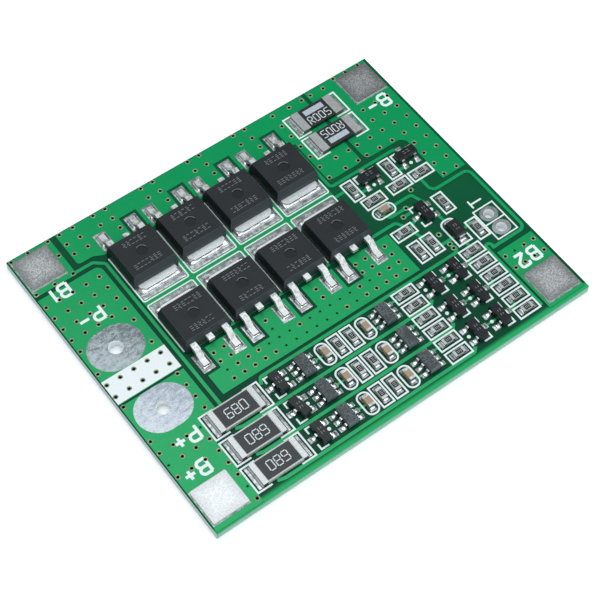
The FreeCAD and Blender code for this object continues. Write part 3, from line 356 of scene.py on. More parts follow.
def masked(name, tints, gap):
    """Solder mask over copper, with a slight orange-peel surface and painted shade on its sides."""
    graph = Graph(name)
    grain = graph.noise(0.3)
    # The sides of the copper are painted near black, as painted shade in the gaps.
    is_top = graph.facing("Z").above(0.5)
    tone = is_top.mix(shade(gap, 0.3), mask_tone(graph, tints))
    return graph.finish(Base_Color=tone, Roughness=grain * 0.16 + 0.26,
                        Normal=graph.bump(grain, strength=0.3, depth=0.02), Specular_IOR_Level=MASK_SHINE)


def white_print(ink):
    """Slightly uneven white ink."""
    graph = Graph("white_print")
    grain = graph.noise(0.22)
    return graph.finish(Base_Color=grain.ramp(0.2, 0.6).vary(ink, 0.93, 1.0), Roughness=0.55,
                        Normal=graph.bump(grain, strength=0.3, depth=0.01))


def solder_metal(colour):
    """Tin that froze unevenly: dull where it lies flat on a land and glossy where it climbs, where it is also
    painted brighter as a painted highlight.
    """
    size = 0.55
    climb_start, climb_end = LAND_TOP / MM + 0.07, LAND_TOP / MM + 0.12
    graph = Graph("solder_land")
    flow = graph.noise(size, detail=4.0)
    spots = graph.noise(size / 4)
    # Where it climbs the solder is painted brighter, as a painted highlight on the fillets.
    climb = graph.axis("Z").ramp(climb_start, climb_end)
    flat = flow.ramp(0.38, 0.62).vary(colour, 0.32, 0.68)
    bright = flow.ramp(0.3, 0.5).vary(colour, 0.95, 1.3)
    dull = spots * 0.3 + 0.2
    return graph.finish(Base_Color=climb.mix(flat, bright), Metallic=0.85,
                        Roughness=dull * (1.0 - climb) + climb * 0.17,
                        Normal=graph.bump(flow + spots * 0.25, strength=0.16, depth=size * 0.2))


def brushed_pad(name, node, colour, dark, stretch):
    """A dull tinned pad with the weave of the board and cloudy patches, with painted shade making it darker
    towards the back right.
    """
    graph = Graph(name)
    low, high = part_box(node)
    clouds = graph.noise(0.6, stretch=(0.6, 1.0, 1.0), detail=4.0, roughness=0.65)
    threads = graph.noise(0.3, stretch, detail=2.0, roughness=0.6)
    cross_threads = graph.noise(0.3, stretch=(0.5, 3.0, 1.0), detail=2.0, roughness=0.6, shift=7.0)
    weave = threads.larger(cross_threads)
    speckle = graph.noise(0.14, detail=2.0, roughness=0.7)
    # back paints shade towards the back right; worn holds the wear patches together with this painted shade.
    back = (graph.axis("X") + graph.axis("Y")).ramp((low.x + low.y) / MM, (high.x + high.y) / MM)
    worn = (clouds * 0.32 + weave * 0.36 + speckle * 0.32 + 0.065 - back * 0.12).ramp(0.42, 0.6)
    return graph.finish(Base_Color=worn.mix(dark, colour), Metallic=0.6, Roughness=speckle * 0.25 + 0.4,
                        Normal=graph.bump(weave + speckle * 0.5, strength=0.3, depth=0.03))


def nickel(name, colour, contrast=0.42):
    """Sand-blasted nickel plate with fine speckles, with painted shade towards its rim and along the edge of
    its top.
    """
    rim_width, edge_shade_width = 1.6, 0.09
    graph = Graph(name)
    low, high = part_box(name.replace("nickel_", "") + "_plate")
    middle, half = (low + high) / (2 * MM), (high - low) / (2 * MM)
    past_rim = (abs(graph.axis("X") - middle.x) - half.x).larger(abs(graph.axis("Y") - middle.y) - half.y)
    speckle = graph.noise(0.17, detail=2.0, roughness=0.8)
    stain = graph.noise(1.8, stretch=(1.0, 0.7, 1.0))
    blasted = speckle.ramp(0.4, 0.6).vary(colour, 1.0 - contrast, 1.0 + contrast)
    worn = (stain * 0.3).mix(blasted, shade(colour, 1.08))
    # Towards its rim the plate is painted darker, and along the edge of its top darker still, as painted
    # shade.
    painted_shade = (past_rim.ramp(-rim_width, 0.1) * contrast * 1.5).mix(worn, shade(colour, 0.3))
    is_top = graph.facing("Z").above(0.5)
    edge_shade = past_rim.ramp(-edge_shade_width, -0.01) * is_top
    # The sides are painted near white with little metal, as a painted highlight along the plate's edges.
    tone = is_top.mix(PLATE_SIDE_HIGHLIGHT, (edge_shade * 0.6).mix(painted_shade, shade(colour, 0.25)))
    return graph.finish(Base_Color=tone, Metallic=is_top * 0.7 + 0.2, Roughness=speckle * 0.2 + 0.36,
                        Normal=graph.bump(speckle, strength=0.4, depth=0.02))


def top_of(node):
    """Height of a node's top in millimetres."""
    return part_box(node)[1].z / MM


def epoxy(name, colour, top, roughness=0.5, speck=0.1, gain=1.5, full=0.8):
    """Moulded epoxy with fine grit, painted paler on the front as painted light, with a painted highlight
    along the top rim and painted shade in its hollows.
    """
    front_light_gain, rim_highlight_gain, hollow = 4.4, 7.5, 0.3
    graph = Graph(name)
    rim_start, rim_end = top - 0.16, top - 0.04
    floor_end, hollow_end = top - 0.03, top - 0.01
    grit = graph.noise(speck, detail=2.0, roughness=0.75)
    gritty = grit.ramp(0.42, full).vary(colour, 0.85, gain)
    faded = graph.noise(2.2).ramp(0.3, 0.75).mix(gritty, shade(colour, 1.15))
    # The front faces are painted paler as painted light, the top rim paler as a painted highlight and the
    # floor of the dimple darker as painted shade.
    is_front = (0.0 - graph.facing("Y")).above(0.5)
    flank = 1.0 - graph.facing("Z").above(0.6)
    edge = flank * graph.axis("Z").ramp(rim_start, rim_end)
    shaded_hollow = graph.facing("Z").above(0.9) * (1.0 - graph.axis("Z").ramp(floor_end, hollow_end))
    lit = is_front.mix((shaded_hollow * 0.6).mix(faded, shade(colour, hollow)), shade(colour, front_light_gain))
    return graph.finish(Base_Color=(edge * 0.7).mix(lit, shade(colour, rim_highlight_gain)),
                        Roughness=grit * 0.2 + (roughness - 0.1), Specular_IOR_Level=0.3,
                        Normal=graph.bump(grit, strength=0.3, depth=0.02))


def plated_lead(name, colour, roughness=0.34, metallic=0.9, worn=0.6, painted_shade=0.0):
    """Matte tin on a formed lead, with painted shade on its slopes, on the leads of the back row and on a
    tab's front face.
    """
    bend_height = LAND_TOP / MM + 0.6
    low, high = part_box("charge_transistor_1_body")
    back_row = (low.y + high.y) / (2 * MM)
    graph = Graph(name)
    streak = graph.noise(0.4, stretch=(1.0, 1.0, 0.5), detail=4.0, roughness=0.6)
    fresh = streak.ramp(0.36, 0.56)
    is_low = 1.0 - graph.axis("Z").above(bend_height)
    calm = (is_low * 0.8).mix(fresh.vary(colour, worn, 1.0), shade(colour, 0.86))
    # Slopes and the front face of a tab are painted darker, as painted shade.
    sloped = graph.facing("Z").ramp(-0.1, 0.6).mix(shade(colour, 0.62), calm)
    is_shaded_front = (0.0 - graph.facing("Y")).above(0.9) * is_low
    tone = is_shaded_front.mix(sloped, shade(colour, 0.22))
    # Leads in the back row are painted darker, as painted shade.
    in_back = graph.axis("Y").above(back_row)
    back_row_shaded = (in_back * (painted_shade - fresh * painted_shade * 0.6)).mix(tone, shade(colour, 0.3))
    return graph.finish(Base_Color=back_row_shaded, Metallic=metallic, Roughness=streak * 0.3 + (roughness - 0.1),
                        Normal=graph.bump(streak, strength=0.3, depth=0.03))


def ceramic(name, colour):
    """Fired ceramic with small pits, also used for flat ink."""
    graph = Graph(name)
    pits = graph.noise(0.16)
    return graph.finish(Base_Color=pits.ramp(0.3, 0.7).vary(colour, 0.8, 1.1), Roughness=0.5,
                        Normal=graph.bump(pits, strength=0.3, depth=0.02))


def black_glaze(name, colour, roughness=0.28, shine=0.5):
    """Smooth black glaze with faint ripples."""
    graph = Graph(name)
    ripple = graph.noise(0.4)
    return graph.finish(Base_Color=ripple.ramp(0.35, 0.7).vary(colour, 0.8, 1.35),
                        Roughness=ripple * 0.15 + roughness, Specular_IOR_Level=shine,
                        Normal=graph.bump(ripple, strength=0.2, depth=0.02))


def board_materials(colours):
    """Finishes of the laminate, its mask, its print and its bare metal."""
    along_x, along_y = (1.0, 3.0, 1.0), (3.0, 1.0, 1.0)
    areas = (colours.area_mask, colours.area_mask_near)
    tracks = (colours.track_mask, colours.track_mask_near)
    return {
        "laminate": laminate(colours),
        "masked_copper": masked("masked_copper", areas, colours.bare_mask),
        "masked_track": masked("masked_track", tracks, colours.bare_mask),
        "white_print": white_print(colours.ink),
        "solder_land": solder_metal(colours.solder),
        "wire_pad_plus": brushed_pad("wire_pad_plus", "p_plus_pad", colours.plus_pad, PLUS_PAD_WORN_AND_SHADED, along_y),
        "wire_pad_minus": brushed_pad("wire_pad_minus", "p_minus_pad", colours.minus_pad, MINUS_PAD_WORN_AND_SHADED,
                                      along_y),
        "sensor_pad": brushed_pad("sensor_pad", "sensor_pads", colours.sensor_pad, SENSOR_PAD_WORN_AND_SHADED, along_x),
        # One nickel is painted brighter or darker for each plate as painted light: B+ much brighter, as a
        # painted reflection of the overhead light.
        "nickel_b_plus": nickel("nickel_b_plus", shade(colours.nickel, 1.6), contrast=0.16),
        "nickel_b_minus": nickel("nickel_b_minus", shade(colours.nickel, 0.95)),
        "nickel_b1": nickel("nickel_b1", shade(colours.nickel, 1.05)),
        "nickel_b2": nickel("nickel_b2", shade(colours.nickel, 1.08)),
    }


def component_materials(colours):
    """Finishes of everything that is soldered to the board."""
    black, tin = colours.epoxy, colours.tin
    return {
        "moulded_black": epoxy("moulded_black", shade(black, 0.8), top_of("charge_transistor_1_body")),
        "controller_black": epoxy("controller_black", colours.controller, top_of("cell_monitor_1_body"),
                                  roughness=0.45, speck=0.22, gain=3.6, full=0.56),
        "small_body_black": epoxy("small_body_black", shade(black, 0.5), top_of("small_transistor_bodies"),
                                  roughness=0.3, speck=0.09, gain=2.4),
        "diode_black": epoxy("diode_black", shade(black, 0.6), top_of("diode_body"),
                             roughness=0.35, speck=0.09, gain=2.1),
        "tinned_lead": plated_lead("tinned_lead", shade(tin, 1.16), metallic=0.4, painted_shade=0.8),
        "sense_terminal": plated_lead("sense_terminal", shade(tin, 0.78), worn=0.82),
        "chip_terminal": plated_lead("chip_terminal", shade(tin, 0.72)),
        "small_lead": plated_lead("small_lead", shade(tin, 1.12), roughness=0.26),
        "sense_resistor_black": black_glaze("sense_resistor_black", colours.glaze),
        "balance_resistor_ceramic": ceramic("balance_resistor_ceramic", colours.ceramic),
        "chip_resistor_black": ceramic("chip_resistor_black", shade(colours.ceramic, 0.8)),
        "capacitor_tan": ceramic("capacitor_tan", colours.capacitor),
    }


# Filled by the first operator, with one material for each of the record's slots
MATERIALS = {}


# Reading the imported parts
def welded(node):
    """The node's mesh with its split corners joined again."""
    mesh = bmesh.new()
    mesh.from_mesh(frame["nodes"][node].data)
    bmesh.ops.remove_doubles(mesh, verts=mesh.verts, dist=WELD)
    return mesh


def groups_of(seeds, neighbours):
    """Sets of items that are joined through their neighbours."""
    waiting = set(seeds)
    found = []
    while waiting:
        start = min(waiting, key=lambda item: item.index)
        waiting.discard(start)
        group = [start]
        for item in group:
            for near in neighbours(item):
                if near in waiting:
                    waiting.discard(near)
                    group.append(near)
        found.append(group)
    return found


def solids(node):
    """The corner points of every separate solid in a node."""
    mesh = welded(node)
    mesh.verts.ensure_lookup_table()
    linked = groups_of(mesh.verts, lambda vert: [edge.other_vert(vert) for edge in vert.link_edges])
    points = [[vert.co.copy() for vert in group] for group in linked]
    mesh.free()
    return points


def extent(points):
    """Lowest and highest corner of some points."""
    low = Vector([min(point[axis] for point in points) for axis in range(3)])
    high = Vector([max(point[axis] for point in points) for axis in range(3)])
    return low, high


def nodes_named(*endings):
    """Names of the CAD nodes with one of these endings, in order."""
    return [name for name in sorted(frame["nodes"]) if name.endswith(endings)]


def is_power(name):
    """Whether a node belongs to a power transistor."""
    return name.startswith(("charge", "discharge"))


def directions(size):
    """The long and the short direction of a box."""
    along = Vector((1, 0, 0)) if size.x > size.y else Vector((0, 1, 0))
    return along, Vector((along.y, along.x, 0))


def drilled_holes():
    """Middle, radius and lowest point of every round hole in the laminate."""
    edge_margin = 0.05 * MM
    mesh = welded("circuit_board")
    mesh.faces.ensure_lookup_table()
    walls = []
    for face in mesh.faces:
        middle = face.calc_center_median()
        past_outline = max(abs(middle.x) - BOARD_HALF_LENGTH, abs(middle.y) - BOARD_HALF_WIDTH)
        if past_outline < -edge_margin and abs(face.normal.z) < 0.5:
            walls.append(face)
    holes = []
    for wall in groups_of(walls, lambda face: [near for edge in face.edges for near in edge.link_faces]):
        low, high = extent([vert.co for face in wall for vert in face.verts])
        holes.append(((low + high) / 2, (high.x - low.x) / 2, low.z))
    mesh.free()
    return holes


HOLES = drilled_holes()
VIA_DRILL = min(radius for middle, radius, low in HOLES)
MOST_VIA_DRILL = 1.2 * VIA_DRILL
LEAST_PAD_DRILL = 2.0 * VIA_DRILL
BLIND_FROM = BOARD_TOP / 4


def vias(plugged):
    """Middles of the vias that are plugged, which are blind, or of those that are open."""
    return [middle for middle, radius, low in HOLES
            if radius < MOST_VIA_DRILL and (low > BLIND_FROM) == plugged]


# Building pieces
def add_piece(name, mesh, material, smooth=True):
    """Make an object that rides on the board from a finished mesh."""
    data = bpy.data.meshes.new(name)
    mesh.to_mesh(data)
    mesh.free()
    data.materials.append(material)
    if smooth:
        data.shade_smooth()
    piece = bpy.data.objects.new(name, data)
    bpy.context.scene.collection.objects.link(piece)
    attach(piece, "root")


def add_block(mesh, middle, half, low, high, turn=0.0):
    """A block about a place, between two heights, turned about its own middle."""
    centre = Vector((middle[0], middle[1], (low + high) / 2))
    size = Vector((2 * half[0], 2 * half[1], high - low, 1.0))
    place = Matrix.Translation(centre) @ Matrix.Rotation(turn, 4, "Z") @ Matrix.Diagonal(size)
    bmesh.ops.create_cube(mesh, size=1.0, matrix=place)


def add_stroke(mesh, start, end, width, low, high):
    """A flat stroke from start to end, between two heights."""
    start, end = Vector(start), Vector(end)
    half = ((end - start).length + width) / 2
    turn = math.atan2(end.y - start.y, end.x - start.x)
    add_block(mesh, (start + end) / 2, (half, width / 2), low, high, turn)


def add_lathe(mesh, centre, profile, segments=20):
    """A surface of revolution about a vertical line through (radius, height) points."""
    rings = []
    for radius, height in profile:
        ring = []
        for step in range(segments):
            angle = 2 * math.pi * step / segments
            ring.append(mesh.verts.new((centre[0] + radius * math.cos(angle),
                                        centre[1] + radius * math.sin(angle), height)))
        rings.append(ring)
    for lower, upper in zip(rings, rings[1:]):
        for step in range(segments):
            after = (step + 1) % segments
            mesh.faces.new((lower[step], lower[after], upper[after], upper[step]))


def add_arc(mesh, centre, radii, height, start, end, steps=14):
    """A flat arc between two radii, from one angle to another in degrees."""
    lines = []
    for step in range(steps + 1):
        angle = math.radians(start + (end - start) * step / steps)
        side = Vector((math.cos(angle), math.sin(angle)))
        lines.append([mesh.verts.new((*(Vector(centre[:2]) + side * radius), height)) for radius in radii])
    for near, far in zip(lines, lines[1:]):
        mesh.faces.new((near[0], near[1], far[1], far[0]))


# Stacks of dashes that are no character: offset across, offset along and half length, in millimetres
TALLIES = (
    ((0.0, 0.32, 0.14), (0.0, -0.32, 0.14)),
    ((0.0, 0.36, 0.1), (0.0, 0.12, 0.16), (0.0, -0.12, 0.1), (0.0, -0.36, 0.16)),
    ((0.0, 0.3, 0.16), (0.0, 0.0, 0.16), (0.0, -0.3, 0.16)),
    ((-0.06, 0.34, 0.08), (0.06, 0.12, 0.12), (-0.06, -0.12, 0.12), (0.06, -0.34, 0.08)),
)
TALLY_LINE = 0.075 * MM


def add_tally(mesh, x, y, levels, height):
    """A stack of short level dashes about a place."""
    for across, along, half in levels:
        start = (x + (across - half) * MM, y + along * MM)
        end = (x + (across + half) * MM, y + along * MM)
        add_stroke(mesh, start, end, TALLY_LINE, height, height + MARK_DEPTH)


# Strokes of the code's signs, from one corner to another of a box one wide and one high
GLYPHS = {
    "0": ((0, 0, 0, 1), (0, 1, 1, 1), (1, 1, 1, 0), (1, 0, 0, 0)),
    "5": ((1, 1, 0, 1), (0, 1, 0, 0.5), (0, 0.5, 1, 0.5), (1, 0.5, 1, 0), (1, 0, 0, 0)),
    "6": ((1, 1, 0, 1), (0, 1, 0, 0), (0, 0, 1, 0), (1, 0, 1, 0.5), (1, 0.5, 0, 0.5)),
    "8": ((0, 0, 0, 1), (0, 1, 1, 1), (1, 1, 1, 0), (1, 0, 0, 0), (0, 0.5, 1, 0.5)),
    "R": ((0, 0, 0, 1), (0, 1, 1, 1), (1, 1, 1, 0.5), (1, 0.5, 0, 0.5), (0.35, 0.5, 1, 0)),
}

# Gap between two signs, in line widths
SIGN_GAP = 2.6


def add_code(mesh, text, middle, size, line, low, side):
    """A value code in plain strokes, centred on a place; side is -1 where it stands upside down."""
    width, height = size
    advance = width + SIGN_GAP * line
    start = -(len(text) - 1) * advance / 2 - width / 2
    for place, sign in enumerate(text):
        left = start + place * advance
        for x0, y0, x1, y1 in GLYPHS[sign]:
            first = (middle.x + side * (left + x0 * width), middle.y + side * (y0 - 0.5) * height)
            last = (middle.x + side * (left + x1 * width), middle.y + side * (y1 - 0.5) * height)
            add_stroke(mesh, first, last, line, low, low + FILM)


# Solder follows each land and climbs whatever stands on it, with slight ripples
SOLDER_SHOULDER = 0.16 * MM
SOLDER_SKIN = 0.035 * MM
SKIN_RIPPLE = 0.01 * MM
CLIMB_RIPPLE = 0.12
LEAST_CELLS = 6


def feet(node):
    """Footprints of a node's solids on their lands."""
    found = []
    for points in solids(node):
        low_points = [point for point in points if point.z < LAND_TOP + CLOSE]
        if low_points:
            found.append(extent(low_points))
    return found


def distance_outside(x, y, low, high):
    """How far a place is outside a rectangle; 0 inside it."""
    return math.hypot(max(low.x - x, 0.0, x - high.x), max(low.y - y, 0.0, y - high.y))


def solder_height(x, y, land, foot, rise, reach):
    """Height of the solder above the land at a place."""
    low, high = land
    edge = min(x - low.x, high.x - x, y - low.y, high.y - y)
    swell = min(max(edge, 0.0) / SOLDER_SHOULDER, 1.0) ** 0.5
    climb = rise * max(1.0 - distance_outside(x, y, *foot) / reach, 0.0)
    first_wave = math.sin(x / MM * 3.1 + y / MM * 1.3)
    second_wave = math.sin(y / MM * 2.7 - x / MM * 1.1)
    ripple = first_wave * second_wave
    return swell * (climb * (1.0 + CLIMB_RIPPLE * ripple) + SOLDER_SKIN + SKIN_RIPPLE * ripple)


def add_solder_patch(mesh, land, foot, rise, reach, pitch):
    """A grid of solder over one land."""
    low, high = land
    columns = max(int((high.x - low.x) / pitch), LEAST_CELLS)
    rows = max(int((high.y - low.y) / pitch), LEAST_CELLS)
    grid = []
    for row in range(rows + 1):
        y = low.y + (high.y - low.y) * row / rows
        line = []
        for column in range(columns + 1):
            x = low.x + (high.x - low.x) * column / columns
            height = solder_height(x, y, land, foot, rise, reach)
            line.append(mesh.verts.new((x, y, LAND_TOP - CLOSE + height)))
        grid.append(line)
    for near, far in zip(grid, grid[1:]):
        for column in range(columns):
            mesh.faces.new((near[column], near[column + 1], far[column + 1], far[column]))


# Operators, one for each piece or group
class BOARD_OT_dress(bpy.types.Operator):
    """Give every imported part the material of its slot"""
    bl_idname = "board.dress"
    bl_label = "Dress parts"

    def execute(self, context):
        colours = settings().colours
        MATERIALS.update(board_materials(colours))
        MATERIALS.update(component_materials(colours))
        slots = {part["node"]: part["material_slot"] for part in frame["record"]["subparts"]}
        for name, part in frame["nodes"].items():
            part.data.materials.clear()
            part.data.materials.append(MATERIALS[slots[name]])
        return {"FINISHED"}


class BOARD_OT_solder(bpy.types.Operator):
    """Add solder on every land that carries a lead or a terminal"""
    bl_idname = "board.solder"
    bl_label = "Add solder"

    def execute(self, context):
        chosen = settings().solder
        least_tab_width = 4 * MM
        lands = [extent(points) for points in solids("component_lands")]
        mesh = bmesh.new()
        for name in nodes_named("_leads", "_terminals"):
            own_rise = chosen.power_rise if is_power(name) else chosen.lead_rise
            own_rise = chosen.chip_rise if name.endswith("_terminals") else own_rise
            for foot in feet(name):
                middle = (foot[0] + foot[1]) / 2
                land = min(lands, key=lambda box: distance_outside(middle.x, middle.y, *box))
                rise, reach = own_rise, chosen.reach
                if is_power(name) and land[1].x - land[0].x > least_tab_width:
                    rise, reach = chosen.tab_rise, chosen.tab_reach
                add_solder_patch(mesh, land, foot, rise, reach, chosen.pitch)
        add_piece("solder_joints", mesh, MATERIALS["solder_land"])
        return {"FINISHED"}


class BOARD_OT_vias(bpy.types.Operator):
    """Add the plated ring and barrel of every open via"""
    bl_idname = "board.vias"
    bl_label = "Add via rings"

    def execute(self, context):
        detail = settings().detail
        outer, bore = detail.ring_radius, detail.via_radius
        chamfer = 0.03 * MM
        foot_radius = 0.25 * MM
        bar_low, bar_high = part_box("divider_bar")
        mesh = bmesh.new()
        for middle in vias(plugged=False):
            over_bar = distance_outside(middle.x, middle.y, bar_low, bar_high) == 0.0
            top = (bar_high.z if over_bar else COPPER_TOP) + 1.5 * FILM
            add_lathe(mesh, middle, [(outer, top - CLOSE), (outer - chamfer, top), (bore + chamfer, top),
                                     (bore, top - chamfer), (bore, WELD), (foot_radius, WELD)])
        graph = Graph("via_ring")
        rim = graph.noise(0.3).ramp(0.3, 0.7).vary(VIA_RIM, 0.5, 1.3)
        # Below the ring, the barrel is painted near black, as painted shade inside the hole.
        lit = graph.axis("Z").ramp(COPPER_TOP / MM - 0.08, COPPER_TOP / MM - 0.01)
        metal = graph.finish(Base_Color=lit.mix(shade(VIA_RIM, 0.05), rim), Roughness=0.4, Metallic=0.2)
        add_piece("via_rings", mesh, metal)
        return {"FINISHED"}


class BOARD_OT_plugs(bpy.types.Operator):
    """Add the sunken mask over every plugged via"""
    bl_idname = "board.plugs"
    bl_label = "Add plugged vias"

    def execute(self, context):
        colours = settings().colours
        top = COPPER_TOP + 0.4 * FILM
        # Radius and depth in millimetres
        hollow = [(0.3, 0.0), (0.19, 0.0), (0.14, 0.04), (0.1, 0.1), (0.0, 0.14)]
        mesh = bmesh.new()
        for middle in vias(plugged=True):
            add_lathe(mesh, middle, [(radius * MM, top - depth * MM) for radius, depth in hollow])
        graph = Graph("plug")
        # The bottom of the hollow is painted darker, as painted shade.
        lit = graph.axis("Z").ramp(top / MM - 0.07, top / MM - 0.005)
        mask = mask_tone(graph, (colours.area_mask, colours.area_mask_near))
        plug = graph.finish(Base_Color=lit.mix(shade(colours.bare_mask, 0.35), mask), Roughness=0.35,
                            Specular_IOR_Level=MASK_SHINE)
        add_piece("plugged_vias", mesh, plug)
        return {"FINISHED"}


class BOARD_OT_hole_plating(bpy.types.Operator):
    """Line the wire and sensor holes with bright plating"""
    bl_idname = "board.hole_plating"
    bl_label = "Add hole plating"

    def execute(self, context):
        thickness = 0.03 * MM
        most_radius = 1.0 * MM
        mesh = bmesh.new()
        for middle, radius, low in HOLES:
            if LEAST_PAD_DRILL < radius < most_radius and low < BLIND_FROM:
                inner = radius - thickness
                add_lathe(mesh, middle, [(radius, LAND_TOP), (inner, LAND_TOP - CLOSE), (inner, CLOSE),
                                         (radius, WELD)], segments=48)
        graph = Graph("bright_plating")
        wire_lining = graph.noise(0.3, stretch=(1.0, 1.0, 0.4)).mix(WIRE_LINING, WIRE_LINING_PALE)
        at_sensor = graph.axis("X").above(0.0)
        bright = graph.finish(Base_Color=at_sensor.mix(wire_lining, SENSOR_LINING), Metallic=0.1,
                              Roughness=0.45)
        add_piece("hole_plating", mesh, bright)
        return {"FINISHED"}


class BOARD_OT_codes(bpy.types.Operator):
    """Add value codes, glaze and pale fields to the large resistors"""
    bl_idname = "board.codes"
    bl_label = "Add value codes"

    def add_balance_top(self, glaze, codes, low, high, line, side):
        """Glaze and code on a balancing resistor; side is -1 where the code stands upside down."""
        side_inset, end_inset = 0.1 * MM, 0.18 * MM
        sign_size = (0.74 * MM, 1.3 * MM)
        middle, half = (low + high) / 2, (high - low) / 2
        top = high.z + CLOSE
        add_block(glaze, middle, (half.x - side_inset, half.y - end_inset), high.z - CLOSE, top)
        add_code(codes, "680", middle, sign_size, line, top, side)

    def add_sense_top(self, fields, codes, low, high, line, side):
        """A pale field and a code on a sense resistor; side is -1 where the code stands upside down."""
        code_shift, field_shift = 0.62 * MM, 0.72 * MM
        field_half = (1.5 * MM, 0.42 * MM)
        sign_size = (0.58 * MM, 1.15 * MM)
        middle = (low + high) / 2
        code_middle = middle - Vector((0, side * code_shift, 0))
        add_code(codes, "R005", code_middle, sign_size, line, high.z, side)
        add_block(fields, (middle.x, middle.y + side * field_shift), field_half, high.z - FILM,
                  high.z + 1.2 * FILM)

    def execute(self, context):
        line = settings().detail.code_line
        glaze, codes, fields = bmesh.new(), bmesh.new(), bmesh.new()
        upright = ("balance_resistor_3", "sense_resistor_2")
        for name in nodes_named("_body"):
            low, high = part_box(name)
            side = 1.0 if name.startswith(upright) else -1.0
            if name.startswith("balance_resistor"):
                self.add_balance_top(glaze, codes, low, high, line, side)
            if name.startswith("sense_resistor"):
                self.add_sense_top(fields, codes, low, high, line, side)
        black = black_glaze("resistor_glaze", settings().colours.glaze, roughness=0.34)
        add_piece("resistor_glaze", glaze, black, smooth=False)
        add_piece("value_codes", codes, ceramic("code_ink", CODE_INK), smooth=False)
        add_piece("pale_fields", fields, ceramic("pale_field", PALE_FIELD), smooth=False)
        return {"FINISHED"}


class BOARD_OT_chip_tops(bpy.types.Operator):
    """Add the dark glaze and its small marks to the chip resistors"""
    bl_idname = "board.chip_tops"
    bl_label = "Add chip tops"

    def execute(self, context):
        inset, line = 0.07 * MM, 0.06 * MM
        bar_pitch, bar_half = 0.22 * MM, 0.16 * MM
        glaze, marks = bmesh.new(), bmesh.new()
        for points in solids("chip_resistor_bodies"):
            low, high = extent(points)
            middle, half = (low + high) / 2, (high - low) / 2
            along, across = directions(half)
            top = high.z + CLOSE
            add_block(glaze, middle, (half.x - inset, half.y - inset), high.z - CLOSE, top)
            for step in (-1, 0, 1):
                bar = middle + along * step * bar_pitch
                reach = across * bar_half
                add_stroke(marks, (bar - reach).xy, (bar + reach).xy, line, top, top + 0.8 * FILM)
        black = black_glaze("chip_glaze", shade(settings().colours.glaze, 0.5), roughness=0.3, shine=0.2)
        add_piece("chip_glaze", glaze, black, smooth=False)
        add_piece("chip_marks", marks, ceramic("chip_mark", CHIP_MARK), smooth=False)
        return {"FINISHED"}


class BOARD_OT_body_marks(bpy.types.Operator):
    """Add faint etched dashes and a light arc, a painted highlight on the dimple's rim, to the power
    transistors
    """
    bl_idname = "board.body_marks"
    bl_label = "Add body marks"

    def execute(self, context):
        # Each row has its offset, its number of marks and its shift; lengths are in millimetres
        rows = ((1.75, 7, 0.25), (-1.75, 6, 0.0))
        pitch = 0.56
        arc_radii, arc_start, arc_end = (0.7 * MM, 0.77 * MM), 10, 125
        chance = random.Random(settings().detail.mark_seed)
        mesh = bmesh.new()
        for name in filter(is_power, nodes_named("_body")):
            low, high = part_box(name)
            middle = (low + high) / 2
            side = -1.0 if name.startswith("charge") else 1.0
            for row, count, shift in rows:
                for place in range(count):
                    x = middle.x + side * ((place - (count - 1) / 2) * pitch + shift) * MM
                    add_tally(mesh, x, middle.y + side * row * MM, chance.choice(TALLIES), high.z)
            # A light arc on the dimple's far rim, a painted highlight.
            add_arc(mesh, middle, arc_radii, high.z + 0.3 * FILM, arc_start, arc_end)
        add_piece("etched_marks_and_arc_highlight", mesh, ceramic("etched_mark_and_arc_highlight", ETCHED_MARK_AND_ARC_HIGHLIGHT), smooth=False)
        return {"FINISHED"}


class BOARD_OT_small_marks(bpy.types.Operator):
    """Add short marks to the small transistors and the diode"""
    bl_idname = "board.small_marks"
    bl_label = "Add small marks"

    def execute(self, context):
        column_half, row_half, line = 0.3 * MM, 0.16 * MM, 0.07 * MM
        half_lengths = (0.1, 0.16)
        chance = random.Random(settings().detail.mark_seed)
        boxes = [extent(points) for points in solids("small_transistor_bodies")]
        boxes += [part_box("diode_body")]
        mesh = bmesh.new()
        for low, high in boxes:
            middle = (low + high) / 2
            along, across = directions(high - low)
            for step in (-1, 1):
                for level in (-1, 1):
                    bar = middle + along * step * column_half + across * level * row_half
                    half = along * chance.choice(half_lengths) * MM
                    add_stroke(mesh, (bar - half).xy, (bar + half).xy, line, high.z, high.z + MARK_DEPTH)
        add_piece("small_marks", mesh, ceramic("small_mark", SMALL_MARK), smooth=False)
        return {"FINISHED"}


class BOARD_OT_lead_ends(bpy.types.Operator):
    """Show the bare copper where the power leads were cut"""
    bl_idname = "board.lead_ends"
    bl_label = "Add lead ends"

    def execute(self, context):
        most_lead_width = 2 * MM
        side_inset = 0.04 * MM
        start, end = LAND_TOP + 0.1 * MM, LAND_TOP + 0.46 * MM
        mesh = bmesh.new()
        for name in filter(is_power, nodes_named("_leads")):
            for points in solids(name):
                low, high = extent(points)
                width = high.x - low.x
                if width > most_lead_width:
                    continue
                tip = high.y if name.startswith("charge") else low.y
                add_block(mesh, ((low.x + high.x) / 2, tip), (width / 2 - side_inset, FILM), start, end)
        graph = Graph("cut_copper")
        wear = graph.noise(0.2).vary(BARE_COPPER, 0.6, 1.0)
        metal = graph.finish(Base_Color=wear, Metallic=0.8, Roughness=0.45)
        add_piece("lead_ends", mesh, metal, smooth=False)
        return {"FINISHED"}


class BOARD_OT_studio(bpy.types.Operator):
    """Set the floor, the lights, the room and the camera"""
    bl_idname = "board.studio"
    bl_label = "Set the studio"

    def execute(self, context):
        chosen = settings().studio
        add_floor()
        add_room(chosen.room)
        add_panel("overhead_panel", place=(0, 0, 0.3), size=0.3, power=chosen.key_power, turn=0.66)
        add_panel("front_panel", place=(0.12, -0.3, 0.14), size=0.2, power=chosen.fill_power)
        add_camera(chosen)
        return {"FINISHED"}


